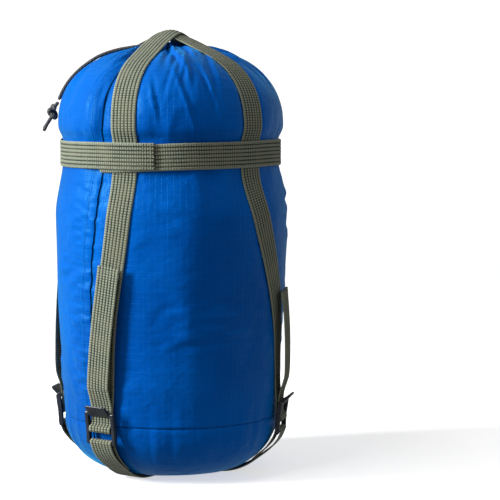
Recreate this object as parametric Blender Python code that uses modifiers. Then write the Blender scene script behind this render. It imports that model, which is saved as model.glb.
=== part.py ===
"""A drawstring compression sack: a cloth cylinder with a domed top, a webbing band round its shoulder,
two webbing straps crossed over the mouth, two crossed under the base, and a ladder buckle on each side strap.

The sack stands on +Z with its base straps on z = 0. Its front is -Y. An azimuth of 0 is the front and 90 is +X.
"""

import math

import bmesh
import bpy
from mathutils import Matrix, Vector

# Overall sizes, in metres
TOTAL_HEIGHT = 0.380
BELLY_RADIUS = 0.0985

# Cloth
CLOTH = 0.0010
FOOT_TAPER = 0.0060
WAIST_DIP = 0.0060
SHOULDER_DIP = 0.0030
CORNER_RADIUS = 0.048
WAIST_DROP = 0.1045
BELLY_DROP = 0.0425
SHOULDER_RISE = 0.022
DOME_HEIGHT = 0.067
DOME_POWER = 2.4
CLOTH_STEPS = 36
LEVEL_SPACING = 0.002

# Webbing
WEB_WIDTH = 0.022
WEB = 0.0012
GAP = 0.0003
TUCK = 0.004
FACET = 0.011
HANDLE_BOW = 0.06762
HANDLE_LIFT_IN = 0.0355
HANDLE_JOIN = (1.037, 0.97)
BAND_START = -38.0
BAND_TURN = 390.0
BAND_STEP = 6.0
LAP_TURN = 330.0
LAP_EASE = 24.0
LAP_PLAY = 0.0001
HUMP_SHARE = 0.8
HUMP_EASE = 0.009
FOLD_START = 0.5

# Azimuths of the side straps at the band, and of the buckles at the foot
BAND_AZIMUTHS = {"front_left": -24.0, "front_right": 45.0, "back_right": 156.0, "back_left": 225.0}
BUCKLE_AZIMUTHS = {"front_left": -37.0, "front_right": 75.0, "back_right": 143.0, "back_left": 255.0}

# Ladder buckle. Its own plane is (outward, up), counted from the lower bar
BUCKLE_Z = 0.037
BUCKLE_OUT = 0.0040
LOWER_BAR_RADIUS = 0.0016
MIDDLE_BAR = (0.0010, 0.0115)
MIDDLE_BAR_SIZE = (0.0026, 0.0034)
UPPER_BAR = (0.0026, 0.0245)
UPPER_BAR_SIZE = (0.0026, 0.0040)
BAR_ROUND = 0.0009
SIDE_PLAY = 0.00075
RAIL_WIDTH = 0.0032
RAIL_DEPTH = 0.0040
TAB_REACH = (0.0080, 0.0075)
TAB_THICKNESS = 0.0020
TAB_WIDTH = 0.017
TAB_INSET = (0.0003, 0.0002)

# Webbing through a buckle. Its rises are heights above the bar it leaves
WRAP_HEIGHT = 0.047
ENTRY_RISES = (0.028, 0.022, 0.016, 0.011)
ENTRY_CLEARANCE = 0.0029
RETURN_CLEARANCE = (0.0001, 0.0016)
EXIT_BELOW = 0.0035
EXIT_START = 0.0020
EXIT_RISES = (0.0065, 0.0105, 0.0145, 0.0185)

# Loose strap ends
TAIL_LENGTHS = {"front_left": 0.101, "front_right": 0.076, "back_right": 0.084, "back_left": 0.092}
TAIL_OUT = 0.0040
TAIL_LEAN = 7.0

# Mouth casing and drawcord
CASING_RADIUS = 0.0118
CASING_TUBE = 0.0026
CASING_RISE = 0.002
CORD = 0.0030
STRAND_SPREAD = 0.0037
KNOT_SIZE = (0.0056, 0.0068, 0.0080)
KNOT_PLACE = (-0.1010, 0.0, 0.3096)
KNOT_TILT = 20.0
CORD_ROUTE = (
    (-0.0155, 0.3670),
    (-0.0303, 0.3651),
    (-0.0457, 0.3624),
    (-0.0602, 0.3575),
    (-0.0713, 0.3507),
    (-0.0800, 0.3436),
    (-0.0868, 0.3360),
    (-0.0920, 0.3278),
    (-0.0957, 0.3200),
)
CORD_ENDS = ((-0.1042, 0.3015), (-0.1062, 0.2985), (-0.1088, 0.2950))

# Heights and radii that follow from the sizes above
BASE_Z = 2 * WEB + 2 * GAP
FOOT_RADIUS = BELLY_RADIUS - FOOT_TAPER
FLAT_RADIUS = FOOT_RADIUS - CORNER_RADIUS
SEAM_Z = BASE_Z + CORNER_RADIUS
WAIST_RADIUS = BELLY_RADIUS - WAIST_DIP
SHOULDER_RADIUS = BELLY_RADIUS - SHOULDER_DIP
WAIST_Z = TOTAL_HEIGHT - WAIST_DROP
BAND_LOW_Z = WAIST_Z - WEB_WIDTH / 2
BAND_HIGH_Z = WAIST_Z + WEB_WIDTH / 2
BELLY_Z = BAND_LOW_Z - BELLY_DROP
SPLIT_Z = BAND_LOW_Z + TUCK
SHOULDER_Z = WAIST_Z + SHOULDER_RISE
CASING_Z = SHOULDER_Z + DOME_HEIGHT + CASING_RISE
STRAP_OUT = GAP + WEB / 2
HANDLE_LIFT_RADIUS = SHOULDER_RADIUS - HANDLE_LIFT_IN
HANDLE_PLAY = HANDLE_BOW * WEB_WIDTH**3 / HANDLE_LIFT_RADIUS**2
HANDLE_SPREAD = (WEB + GAP) / 2 + HANDLE_PLAY
HANDLE_APEX_Z = TOTAL_HEIGHT - HANDLE_SPREAD - WEB / 2
TAIL_RADIUS = BELLY_RADIUS + TAIL_OUT
STRAP_FOOT_Z = BUCKLE_Z + WRAP_HEIGHT

COLLECTION = "compression_sack"


def smooth(t):
    """A smooth step from 0 to 1."""
    t = min(max(t, 0.0), 1.0)
    return t * t * (3 - 2 * t)


def outward(azimuth):
    """The horizontal direction away from the sack's axis at an azimuth in degrees."""
    a = math.radians(azimuth)
    return Vector((math.sin(a), -math.cos(a), 0))


def side_radius(z):
    """The cloth's outer radius on the side wall."""
    knots = [
        (SEAM_Z, FOOT_RADIUS),
        (BELLY_Z, BELLY_RADIUS),
        (BAND_LOW_Z, WAIST_RADIUS),
        (BAND_HIGH_Z, WAIST_RADIUS),
        (SHOULDER_Z, SHOULDER_RADIUS),
    ]
    for (z0, r0), (z1, r1) in zip(knots, knots[1:]):
        if z <= z1:
            return r0 + (r1 - r0) * smooth((z - z0) / (z1 - z0))
    return SHOULDER_RADIUS


def side_levels(low, high):
    """Heights down the side wall that follow its shape, from high to low."""
    waist = [BAND_LOW_Z + (BELLY_Z - BAND_LOW_Z) * k / 6 for k in range(6)]
    belly = [BELLY_Z + (SEAM_Z - BELLY_Z) * k / 8 for k in range(8)]
    between = [z for z in waist + belly if low + LEVEL_SPACING < z < high - LEVEL_SPACING]
    return [high, *between, low]


def dome_height(radius):
    """The height of the dome's outer face over a plan radius."""
    share = min(radius / SHOULDER_RADIUS, 1.0)
    return SHOULDER_Z + DOME_HEIGHT * (1 - share**DOME_POWER) ** (1 / DOME_POWER)


def dome_slope(radius):
    """How fast the dome's height falls with the plan radius."""
    step = 1e-5
    return (dome_height(radius - step) - dome_height(radius + step)) / (2 * step)


def handle_height(radius):
    """The height of the surface that the two crossed straps share over the mouth.
    It is a tent that meets the dome smoothly."""
    lift = HANDLE_LIFT_RADIUS
    slope = dome_slope(lift)
    foot = dome_height(lift) + STRAP_OUT * math.hypot(1, slope)
    drop = HANDLE_APEX_Z - foot
    return HANDLE_APEX_Z - drop * (radius / lift) ** (slope * lift / drop)


def collection(name):
    """A new collection in the scene."""
    made = bpy.data.collections.new(name)
    bpy.context.scene.collection.children.link(made)
    return made


def material(name, colour, roughness, metallic=0.0):
    """A Principled material."""
    made = bpy.data.materials.new(name)
    made.use_nodes = True
    shader = made.node_tree.nodes["Principled BSDF"]
    shader.inputs["Base Color"].default_value = (*colour, 1)
    shader.inputs["Roughness"].default_value = roughness
    shader.inputs["Metallic"].default_value = metallic
    made.diffuse_color = (*colour, 1)
    return made


def add(name, data, parts, look, matrix=None):
    """A new object for a sub-part, with a material of its own."""
    made = bpy.data.objects.new(name, data)
    parts.objects.link(made)
    if matrix is not None:
        made.matrix_world = matrix
    made.data.materials.clear()
    made.data.materials.append(material(name, *look))
    return made


def solidify(obj, thickness, offset):
    """Gives an open surface its thickness."""
    modifier = obj.modifiers.new("Thickness", "SOLIDIFY")
    modifier.thickness = thickness
    modifier.offset = offset
    modifier.use_even_offset = True


def turned(name, profile, parts, look, thickness, offset=-1.0):
    """A cloth skin turned round Z from (radius, height) points that run down its outer side."""
    mesh = bpy.data.meshes.new(name)
    points = [(radius, 0, z) for radius, z in profile]
    mesh.from_pydata(points, [(n, n + 1) for n in range(len(points) - 1)], [])
    obj = add(name, mesh, parts, look)
    screw = obj.modifiers.new("Turn", "SCREW")
    screw.steps = CLOTH_STEPS
    screw.render_steps = CLOTH_STEPS
    screw.use_merge_vertices = True
    screw.merge_threshold = 0.00005
    screw.use_smooth_shade = True
    solidify(obj, thickness, offset)
    return obj


def ribbon(name, stations, parts, look, width=WEB_WIDTH, thickness=WEB):
    """Webbing along stations of (centre, outward normal, sag).
    The sag says how far the edges drop below the middle."""
    made = bmesh.new()
    facets = 2 * math.ceil(round(width / FACET / 2, 6))
    sides = [2 * k / facets - 1 for k in range(facets + 1)]
    rows = []
    for n, (centre, normal, sag) in enumerate(stations):
        before = stations[max(n - 1, 0)][0]
        after = stations[min(n + 1, len(stations) - 1)][0]
        across = (after - before).cross(normal).normalized()
        row = [centre + across * (side * width / 2) - normal * (sag * side * side) for side in sides]
        rows.append([made.verts.new(point) for point in row])
    for low, high in zip(rows, rows[1:]):
        for k in range(facets):
            made.faces.new((low[k], low[k + 1], high[k + 1], high[k]))
    mesh = bpy.data.meshes.new(name)
    made.to_mesh(mesh)
    made.free()
    mesh.shade_smooth()
    obj = add(name, mesh, parts, look)
    solidify(obj, thickness, 0.0)
    return obj


def sag_on(radius, tilt=1.0):
    """How far webbing's edges drop on a round surface of that plan radius, whose normal leans out by tilt."""
    return tilt * (math.hypot(radius, WEB_WIDTH / 2) - radius)


def planar(points, azimuth):
    """Stations of flat webbing along (radius, height) points in one upright plane through the axis.
    The points run so that the outer side is on their left, seen with the radius to the right."""
    out = outward(azimuth)
    stations = []
    for n, (radius, z) in enumerate(points):
        r0, z0 = points[max(n - 1, 0)]
        r1, z1 = points[min(n + 1, len(points) - 1)]
        along = Vector((r1 - r0, z1 - z0)).normalized()
        normal = out * -along.y + Vector((0, 0, along.x))
        stations.append((out * radius + Vector((0, 0, z)), normal))
    return stations


def cloth_parts(parts, look):
    """The base, the side wall and the gathered top."""
    arc = [math.radians(a) for a in (90, 74, 57, 40, 22, 0)]
    corner = [(FLAT_RADIUS + CORNER_RADIUS * math.sin(a), SEAM_Z - CORNER_RADIUS * math.cos(a)) for a in arc]
    turned("base_panel", corner + [(FLAT_RADIUS / 2, BASE_Z), (0, BASE_Z)], parts, look, CLOTH)

    levels = side_levels(SEAM_Z + GAP, SPLIT_Z - GAP)
    turned("side_fabric", [(side_radius(z), z) for z in levels], parts, look, CLOTH)

    end = CASING_RADIUS + CASING_TUBE + CLOTH / 5
    shares = [n / 9 for n in range(10)]
    domed = [end + (SHOULDER_RADIUS - end) * math.sin(share * math.pi / 2) for share in shares]
    profile = [(radius, dome_height(radius)) for radius in domed]
    profile += [(side_radius(z), z) for z in ((SHOULDER_Z + BAND_HIGH_Z) / 2, BAND_HIGH_Z, SPLIT_Z)]
    turned("top_fabric", profile, parts, look, CLOTH)

    turns = [math.radians(a) for a in range(-45, 226, 27)]
    rolled = [(CASING_RADIUS - CASING_TUBE * math.cos(a), CASING_Z + CASING_TUBE * math.sin(a)) for a in turns]
    turned("mouth_casing", rolled, parts, look, CLOTH, 0.0)


def band(parts, look):
    """The band round the shoulder: a turn and a bit of webbing whose outer end laps over its start."""
    rise = WEB + GAP + LAP_PLAY
    count = int(BAND_TURN / BAND_STEP)
    stations = []
    for n in range(count + 1):
        turn = BAND_TURN * n / count
        lap = smooth((turn - LAP_TURN) / LAP_EASE)
        radius = WAIST_RADIUS + 2 * GAP + WEB + WEB / 2 + rise * lap
        out = outward(BAND_START + turn)
        stations.append((out * radius + Vector((0, 0, WAIST_Z)), out, 0.0))
    ribbon("girth_band", stations, parts, look)


def handle_straps(parts, look):
    """The two straps that cross over the mouth and run down under the band."""
    dome_end, tent_start = (share * HANDLE_LIFT_RADIUS for share in HANDLE_JOIN)
    arc = math.acos(dome_end / SHOULDER_RADIUS)
    for name, corner, side in (("top_strap_upper", "front_left", 1), ("top_strap_lower", "front_right", -1)):
        azimuth = BAND_AZIMUTHS[corner]
        half = []
        levels = [SPLIT_Z, BAND_HIGH_Z, (BAND_HIGH_Z + SHOULDER_Z) / 2, SHOULDER_Z]
        for z in levels:
            half.append((side_radius(z) + STRAP_OUT, z, sag_on(side_radius(z))))
        for n in range(1, 12):
            radius = SHOULDER_RADIUS * math.cos(arc * n / 11)
            slope = dome_slope(radius)
            size = math.hypot(1, slope)
            half.append((
                radius + STRAP_OUT * slope / size,
                dome_height(radius) + STRAP_OUT / size,
                sag_on(radius, slope / size),
            ))
        for n in range(13, -1, -1):
            radius = tent_start * n / 13
            sag = handle_height(radius) - handle_height(math.hypot(radius, WEB_WIDTH / 2))
            lift = side * HANDLE_SPREAD * smooth(2 - 2 * radius / HANDLE_LIFT_RADIUS)
            half.append((radius, handle_height(radius) + lift, sag))
        line = half + [(-radius, z, sag) for radius, z, sag in reversed(half[:-1])]
        frames = planar([(-radius, z) for radius, z, _ in line], azimuth + 180)
        stations = [(centre, normal, sag) for (centre, normal), (_, _, sag) in zip(frames, line)]
        ribbon(name, stations, parts, look)


def side_straps(parts, look):
    """The side straps, from under the band to just above each buckle."""
    top = SPLIT_Z - GAP
    step = 0.001
    for corner, start in BAND_AZIMUTHS.items():
        swing = BUCKLE_AZIMUTHS[corner] - start
        stations = []
        levels = side_levels(STRAP_FOOT_Z + GAP, top)
        levels.insert(-1, levels[-1] + TUCK)
        for z in levels:
            azimuth = start + swing * smooth((top - z) / (top - STRAP_FOOT_Z - GAP))
            slope = (side_radius(z + step) - side_radius(z - step)) / (2 * step)
            normal = (outward(azimuth) - Vector((0, 0, slope))).normalized()
            centre = outward(azimuth) * (side_radius(z) + STRAP_OUT) + Vector((0, 0, z))
            stations.append((centre, normal, sag_on(side_radius(z))))
        ribbon(f"side_strap_{corner}", stations, parts, look)


def corner_arc(radius, stand, first, last):
    """(share of a right angle, reach) pairs round the base's corner, from the first share of the way to the last.
    The strap stands off the cloth by stand until it eases out to the given radius, level with the lower bar."""
    end = math.atan2(radius - FLAT_RADIUS, SEAM_Z - BUCKLE_Z)
    out = math.hypot(radius - FLAT_RADIUS, SEAM_Z - BUCKLE_Z) - CORNER_RADIUS - stand
    pairs = []
    for n in range(10):
        share = first + (last - first) * n / 9
        reach = CORNER_RADIUS + stand + out * smooth((share - FOLD_START) / (1 - FOLD_START))
        pairs.append((share * end / (math.pi / 2), reach))
    return pairs[1:] if first > last else pairs[:-1]


def base_strap_line(crossing):
    """(radius, height) points of one half of a base strap, from the base's middle to the end of its sewn fold.
    crossing is the extra height that carries the strap over the other one at the middle."""
    out = BASE_Z - WEB / 2
    hump = WEB_WIDTH * HUMP_SHARE
    flat = hump + HUMP_EASE
    third = (FLAT_RADIUS - flat) / 3
    line = []
    for radius in (0.0, hump / 2, hump, (hump + flat) / 2, flat, flat + third, flat + 2 * third):
        line.append((radius, WEB / 2 + crossing * (1 - smooth((radius - hump) / HUMP_EASE))))
    eye = LOWER_BAR_RADIUS + GAP + WEB / 2
    bar = FOOT_RADIUS + BUCKLE_OUT
    for share, reach in corner_arc(bar + eye, out, 0.0, 1.0):
        a = share * math.pi / 2
        line.append((FLAT_RADIUS + reach * math.sin(a), SEAM_Z - reach * math.cos(a)))
    for degrees in range(0, 181, 20):
        a = math.radians(degrees)
        line.append((bar + eye * math.cos(a), BUCKLE_Z + eye * math.sin(a)))
    for share, reach in corner_arc(bar - eye, STRAP_OUT, 1.0, FOLD_START):
        a = share * math.pi / 2
        line.append((FLAT_RADIUS + reach * math.sin(a), SEAM_Z - reach * math.cos(a)))
    return line


def base_straps(parts, look):
    """The two straps crossed under the base, each with a sewn fold round a buckle's lower bar at both ends."""
    for name, corner, crossing in (
        ("base_strap_lower", "front_left", 0.0),
        ("base_strap_upper", "front_right", WEB + GAP),
    ):
        azimuth = BUCKLE_AZIMUTHS[corner]
        half = base_strap_line(crossing)
        line = [(-radius, z) for radius, z in reversed(half[1:])] + half
        stations = [(centre, normal, 0.0) for centre, normal in planar(line, azimuth)]
        ribbon(name, stations, parts, look)


def slab(outline, low, high):
    """A mesh of a flat (outward, up) outline, extruded sideways from low to high."""
    curve = bpy.data.curves.new("outline", "CURVE")
    curve.dimensions = "2D"
    curve.fill_mode = "BOTH"
    curve.extrude = (high - low) / 2
    spline = curve.splines.new("POLY")
    spline.points.add(len(outline) - 1)
    for point, (u, v) in zip(spline.points, outline):
        point.co = (u, v, 0, 1)
    spline.use_cyclic_u = True
    holder = bpy.data.objects.new("outline", curve)
    bpy.context.scene.collection.objects.link(holder)
    bpy.context.view_layer.update()
    mesh = bpy.data.meshes.new_from_object(holder.evaluated_get(bpy.context.evaluated_depsgraph_get()))
    bpy.data.objects.remove(holder)
    bpy.data.curves.remove(curve)
    made = bmesh.new()
    made.from_mesh(mesh)
    bmesh.ops.remove_doubles(made, verts=made.verts, dist=1e-6)
    bmesh.ops.transform(made, matrix=Matrix.Translation((0, 0, (low + high) / 2)), verts=made.verts)
    bmesh.ops.recalc_face_normals(made, faces=made.faces)
    made.to_mesh(mesh)
    made.free()
    return mesh


def round_box(centre, size, radius, steps=3):
    """The outline of a box with rounded corners."""
    points = []
    for k, (sx, sy) in enumerate(((1, 1), (-1, 1), (-1, -1), (1, -1))):
        cx = centre[0] + sx * (size[0] / 2 - radius)
        cy = centre[1] + sy * (size[1] / 2 - radius)
        for n in range(steps + 1):
            a = math.radians(90 * k + 90 * n / steps)
            points.append((cx + radius * math.cos(a), cy + radius * math.sin(a)))
    return points


def buckle_mesh(cutters):
    """A ladder buckle: two rails, a round lower bar, a middle bar, and an upper bar with a thumb tab."""
    inner = WEB_WIDTH / 2 + SIDE_PLAY
    outer = inner + RAIL_WIDTH
    into = RAIL_WIDTH / 2
    top = UPPER_BAR[1] + UPPER_BAR_SIZE[1] / 2
    half = RAIL_DEPTH / 2
    foot = [(half * math.cos(math.radians(a)), half * math.sin(math.radians(a))) for a in range(180, 361, 30)]
    head = [(UPPER_BAR[0] + half, top - half), (UPPER_BAR[0] + half / 2, top), (UPPER_BAR[0] - half / 2, top)]
    rail = [*foot, (MIDDLE_BAR[0] + half, MIDDLE_BAR[1]), *head]
    rail += [(UPPER_BAR[0] - half, top - half), (MIDDLE_BAR[0] - half, MIDDLE_BAR[1])]
    tip = (UPPER_BAR[0] + TAB_REACH[0], UPPER_BAR[1] + TAB_REACH[1])
    tab = [
        (UPPER_BAR[0] - UPPER_BAR_SIZE[0] / 2, UPPER_BAR[1]),
        (UPPER_BAR[0] + UPPER_BAR_SIZE[0] / 2, UPPER_BAR[1] - UPPER_BAR_SIZE[1] / 2 + TAB_INSET[0]),
        (tip[0], tip[1] - TAB_THICKNESS * 0.7),
        (tip[0] - TAB_THICKNESS * 0.2, tip[1]),
        (tip[0] - TAB_THICKNESS, tip[1]),
        (UPPER_BAR[0] - UPPER_BAR_SIZE[0] / 4, UPPER_BAR[1] + UPPER_BAR_SIZE[1] / 2 - TAB_INSET[1]),
    ]
    bar = LOWER_BAR_RADIUS
    pin = [(bar * math.cos(math.radians(a)), bar * math.sin(math.radians(a))) for a in range(15, 375, 30)]
    pieces = [
        slab(rail, -outer, -inner),
        slab(rail, inner, outer),
        slab(pin, -inner - into, inner + into),
        slab(round_box(MIDDLE_BAR, MIDDLE_BAR_SIZE, BAR_ROUND), -inner - into, inner + into),
        slab(round_box(UPPER_BAR, UPPER_BAR_SIZE, BAR_ROUND), -inner - into, inner + into),
        slab(tab, -TAB_WIDTH / 2, TAB_WIDTH / 2),
    ]
    holders = []
    for mesh in pieces:
        holder = bpy.data.objects.new("buckle_piece", mesh)
        cutters.objects.link(holder)
        holder.hide_render = True
        holder.display_type = "WIRE"
        holders.append(holder)
    first, rest = holders[0], holders[1:]
    for other in rest:
        union = first.modifiers.new("Join", "BOOLEAN")
        union.operation = "UNION"
        union.solver = "EXACT"
        union.object = other
    bpy.context.view_layer.update()
    joined = bpy.data.meshes.new_from_object(first.evaluated_get(bpy.context.evaluated_depsgraph_get()))
    for holder in holders:
        bpy.data.objects.remove(holder)
    joined.name = "ladder_buckle"
    return joined


def wrap_line():
    """(outward, up) points of the webbing through a buckle, counted from the foot wall and the lower bar.
    It runs down behind the upper and middle bars, forward under the middle bar, back over it, and up."""
    bar_u = BUCKLE_OUT + MIDDLE_BAR[0]
    bar_v = MIDDLE_BAR[1]
    reach_u = MIDDLE_BAR_SIZE[0] / 2 + STRAP_OUT
    reach_v = MIDDLE_BAR_SIZE[1] / 2 + STRAP_OUT
    behind = BUCKLE_OUT + UPPER_BAR[0] - UPPER_BAR_SIZE[0] / 2 - STRAP_OUT
    load = bar_u - reach_u
    close = bar_v + ENTRY_RISES[-1]
    line = []
    for rise in (WRAP_HEIGHT - bar_v, *ENTRY_RISES):
        v = bar_v + rise
        wall = side_radius(BUCKLE_Z + v) - FOOT_RADIUS + STRAP_OUT
        line.append((wall + (load - wall) * smooth((WRAP_HEIGHT - v) / (WRAP_HEIGHT - close)), v))
    line.append((load, bar_v + reach_v + ENTRY_CLEARANCE))

    turn = BAR_ROUND + STRAP_OUT
    core_u, core_v = (size / 2 - BAR_ROUND for size in MIDDLE_BAR_SIZE)
    rounds = (
        (-1, -1, (180, 203, 226, 248, 270)),
        (1, -1, (285, 308, 331, 356)),
        (1, 1, (3, 26, 49, 68)),
    )
    for side_u, side_v, angles in rounds:
        for degrees in angles:
            a = math.radians(degrees)
            u = bar_u + side_u * core_u + turn * math.cos(a)
            v = bar_v + side_v * core_v + turn * math.sin(a)
            line.append((u, v))

    line.append((behind + RETURN_CLEARANCE[0], bar_v + reach_v + RETURN_CLEARANCE[1]))
    line.append((behind, UPPER_BAR[1] - EXIT_BELOW))
    line.append((behind, UPPER_BAR[1] + EXIT_START))
    exit_u = TAIL_RADIUS - FOOT_RADIUS
    above = WRAP_HEIGHT - UPPER_BAR[1]
    for rise in (*EXIT_RISES, above):
        share = smooth((rise - EXIT_START) / (above + EXIT_START))
        line.append((behind + (exit_u - behind) * share, UPPER_BAR[1] + rise))
    return line


def buckles(parts, cutters, web, plastic):
    """The four buckles, each with the webbing threaded through it and its loose end."""
    mesh = buckle_mesh(cutters)
    for corner, azimuth in BUCKLE_AZIMUTHS.items():
        out = outward(azimuth)
        side = out.cross(Vector((0, 0, 1)))
        pivot = bpy.data.objects.new(f"buckle_axis_{corner}", None)
        parts.objects.link(pivot)
        pivot.location = out * (FOOT_RADIUS + BUCKLE_OUT) + Vector((0, 0, BUCKLE_Z))
        turn = Matrix((out, (0, 0, 1), side)).transposed().to_4x4()
        place = Matrix.Translation(pivot.location) @ turn
        own = mesh.copy()
        own.materials.append(None)
        buckle = add(f"ladder_buckle_{corner}", own, parts, plastic)
        line = [(FOOT_RADIUS + u, BUCKLE_Z + v) for u, v in wrap_line()]
        stations = [(centre, normal, 0.0) for centre, normal in planar(line, azimuth)]
        wrap = ribbon(f"strap_wrap_{corner}", stations, parts, web)
        bpy.context.view_layer.update()
        for piece, matrix in ((buckle, place), (wrap, Matrix.Identity(4))):
            piece.parent = pivot
            piece.matrix_parent_inverse = pivot.matrix_world.inverted()
            piece.matrix_world = matrix
        loose_end(corner, azimuth, parts, web)


def loose_end(corner, azimuth, parts, look):
    """A strap's loose end, standing up off the belly and leaning the way its side strap does."""
    out = outward(azimuth)
    towards = math.copysign(1, BAND_AZIMUTHS[corner] - azimuth)
    across = Vector((0, 0, 1)).cross(out)
    lean = math.radians(TAIL_LEAN) * towards
    along = Vector((0, 0, math.cos(lean))) + across * math.sin(lean)
    foot = out * TAIL_RADIUS + Vector((0, 0, STRAP_FOOT_Z + 3 * GAP + WEB_WIDTH / 2 * math.sin(abs(lean))))
    stations = [(foot + along * (TAIL_LENGTHS[corner] * n / 4), out, 0.0) for n in range(5)]
    ribbon(f"strap_tail_{corner}", stations, parts, look)


def tube(name, points, parts, look):
    """A cord along points, as a curve with a round bevel and closed ends."""
    curve = bpy.data.curves.new(name, "CURVE")
    curve.dimensions = "3D"
    curve.bevel_depth = CORD / 2
    curve.bevel_resolution = 2
    curve.use_fill_caps = True
    spline = curve.splines.new("POLY")
    spline.points.add(len(points) - 1)
    for point, place in zip(spline.points, points):
        point.co = (*place, 1)
    return add(name, curve, parts, look)


def eased(points, pieces):
    """Points on a smooth curve through the given ones, with that many pieces between neighbours."""
    ends = [points[0] * 2 - points[1], *points, points[-1] * 2 - points[-2]]
    line = []
    for p0, p1, p2, p3 in zip(ends, ends[1:], ends[2:], ends[3:]):
        for n in range(pieces):
            t = n / pieces
            bend = p0 * 2 - p1 * 5 + p2 * 4 - p3
            twist = p1 * 3 - p0 - p2 * 3 + p3
            line.append((p1 * 2 + (p2 - p0) * t + bend * t**2 + twist * t**3) / 2)
    return [*line, points[-1]]


def drawcord(parts, look):
    """The drawcord: a ring in the casing, two strands over the dome's left side, and the knot that joins them."""
    bpy.ops.mesh.primitive_torus_add(
        major_segments=32,
        minor_segments=8,
        major_radius=CASING_RADIUS,
        minor_radius=CORD / 2,
        location=(0, 0, CASING_Z),
    )
    torus = bpy.context.object
    ring = torus.data
    bpy.data.objects.remove(torus)
    ring.shade_smooth()
    add("drawcord_ring", ring, parts, look, Matrix.Translation((0, 0, CASING_Z)))

    for strand, side in (("front", -1), ("back", 1)):
        spread = side * STRAND_SPREAD / 2
        path = [Vector((x, spread, z)) for x, z in CORD_ROUTE]
        tube(f"drawcord_strand_{strand}", eased(path, 2), parts, look)
        path = [Vector((x, spread, z)) for x, z in CORD_ENDS]
        tube(f"drawcord_end_{strand}", eased(path, 2), parts, look)

    made = bmesh.new()
    bmesh.ops.create_uvsphere(made, u_segments=14, v_segments=8, radius=1)
    bmesh.ops.scale(made, vec=KNOT_SIZE, verts=made.verts)
    bmesh.ops.rotate(made, matrix=Matrix.Rotation(math.radians(KNOT_TILT), 3, "Y"), verts=made.verts)
    mesh = bpy.data.meshes.new("drawcord_knot")
    made.to_mesh(mesh)
    made.free()
    mesh.shade_smooth()
    add("drawcord_knot", mesh, parts, look, Matrix.Translation(KNOT_PLACE))


def main():
    for obj in list(bpy.data.objects):
        bpy.data.objects.remove(obj)
    parts = collection(COLLECTION)
    cutters = collection("cutters")
    blue = ((0.010, 0.130, 0.480), 0.45)
    olive = ((0.165, 0.175, 0.125), 0.85)
    plastic = ((0.020, 0.024, 0.032), 0.35)
    black = ((0.012, 0.012, 0.014), 0.70)
    cloth_parts(parts, blue)
    band(parts, olive)
    handle_straps(parts, olive)
    side_straps(parts, olive)
    base_straps(parts, olive)
    buckles(parts, cutters, olive, plastic)
    drawcord(parts, black)


main()
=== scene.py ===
"""The looks of a drawstring compression sack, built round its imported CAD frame."""

import math

import bmesh
import bpy
import numpy as np
from mathutils import Matrix, Vector


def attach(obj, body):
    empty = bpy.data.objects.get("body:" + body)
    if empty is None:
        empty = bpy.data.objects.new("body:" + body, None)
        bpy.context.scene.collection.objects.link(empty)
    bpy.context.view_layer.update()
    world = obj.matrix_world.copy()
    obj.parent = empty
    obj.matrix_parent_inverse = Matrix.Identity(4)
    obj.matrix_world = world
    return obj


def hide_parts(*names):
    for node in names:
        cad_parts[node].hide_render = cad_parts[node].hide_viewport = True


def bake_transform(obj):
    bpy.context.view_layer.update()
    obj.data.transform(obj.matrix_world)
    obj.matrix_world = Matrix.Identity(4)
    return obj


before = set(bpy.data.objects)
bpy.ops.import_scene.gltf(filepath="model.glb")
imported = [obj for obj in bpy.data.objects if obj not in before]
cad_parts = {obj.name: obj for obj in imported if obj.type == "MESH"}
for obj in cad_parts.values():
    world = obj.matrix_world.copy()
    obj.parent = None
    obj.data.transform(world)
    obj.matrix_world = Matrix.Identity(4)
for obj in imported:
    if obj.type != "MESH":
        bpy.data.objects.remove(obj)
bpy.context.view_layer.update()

# Sizes of the frame, in metres
TOTAL_HEIGHT = 0.380
BELLY_RADIUS = 0.0985
FOOT_TAPER = 0.0060
WAIST_DIP = 0.0060
SHOULDER_DIP = 0.0030
CORNER_RADIUS = 0.048
WAIST_DROP = 0.1045
BELLY_DROP = 0.0425
SHOULDER_RISE = 0.022
DOME_HEIGHT = 0.067
DOME_POWER = 2.4
WEB_WIDTH = 0.022
WEB = 0.0012
GAP = 0.0003
TUCK = 0.004
HANDLE_PLAY = 0.0002
HANDLE_LIFT_IN = 0.0355
BAND_START = -38.0
BAND_TURN = 390.0
HUMP_EASE = 0.009
FOLD_START = 0.5
BAND_AZIMUTHS = {"front_left": -24.0, "front_right": 45.0, "back_right": 156.0, "back_left": 225.0}
BUCKLE_AZIMUTHS = {"front_left": -37.0, "front_right": 75.0, "back_right": 143.0, "back_left": 255.0}
BUCKLE_Z = 0.037
BUCKLE_OUT = 0.0040
LOWER_BAR_RADIUS = 0.0016
MIDDLE_BAR = (0.0010, 0.0115)
MIDDLE_BAR_SIZE = (0.0026, 0.0034)
MIDDLE_BAR_ROUND = 0.0009
UPPER_BAR = (0.0026, 0.0245)
UPPER_BAR_SIZE = (0.0026, 0.0040)
SIDE_PLAY = 0.00075
RAIL_WIDTH = 0.0032
RAIL_DEPTH = 0.0040
TAB_WIDTH = 0.017
WRAP_HEIGHT = 0.047
TAIL_LENGTHS = {"front_left": 0.101, "front_right": 0.076, "back_right": 0.084, "back_left": 0.092}
TAIL_OUT = 0.0040
TAIL_LEAN = 7.0
CASING_RADIUS = 0.0118
CASING_TUBE = 0.0026
CASING_RISE = 0.002
CORD = 0.0030
STRAND_SPREAD = 0.0037
KNOT_PLACE = (-0.1010, 0.0, 0.3096)

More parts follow.
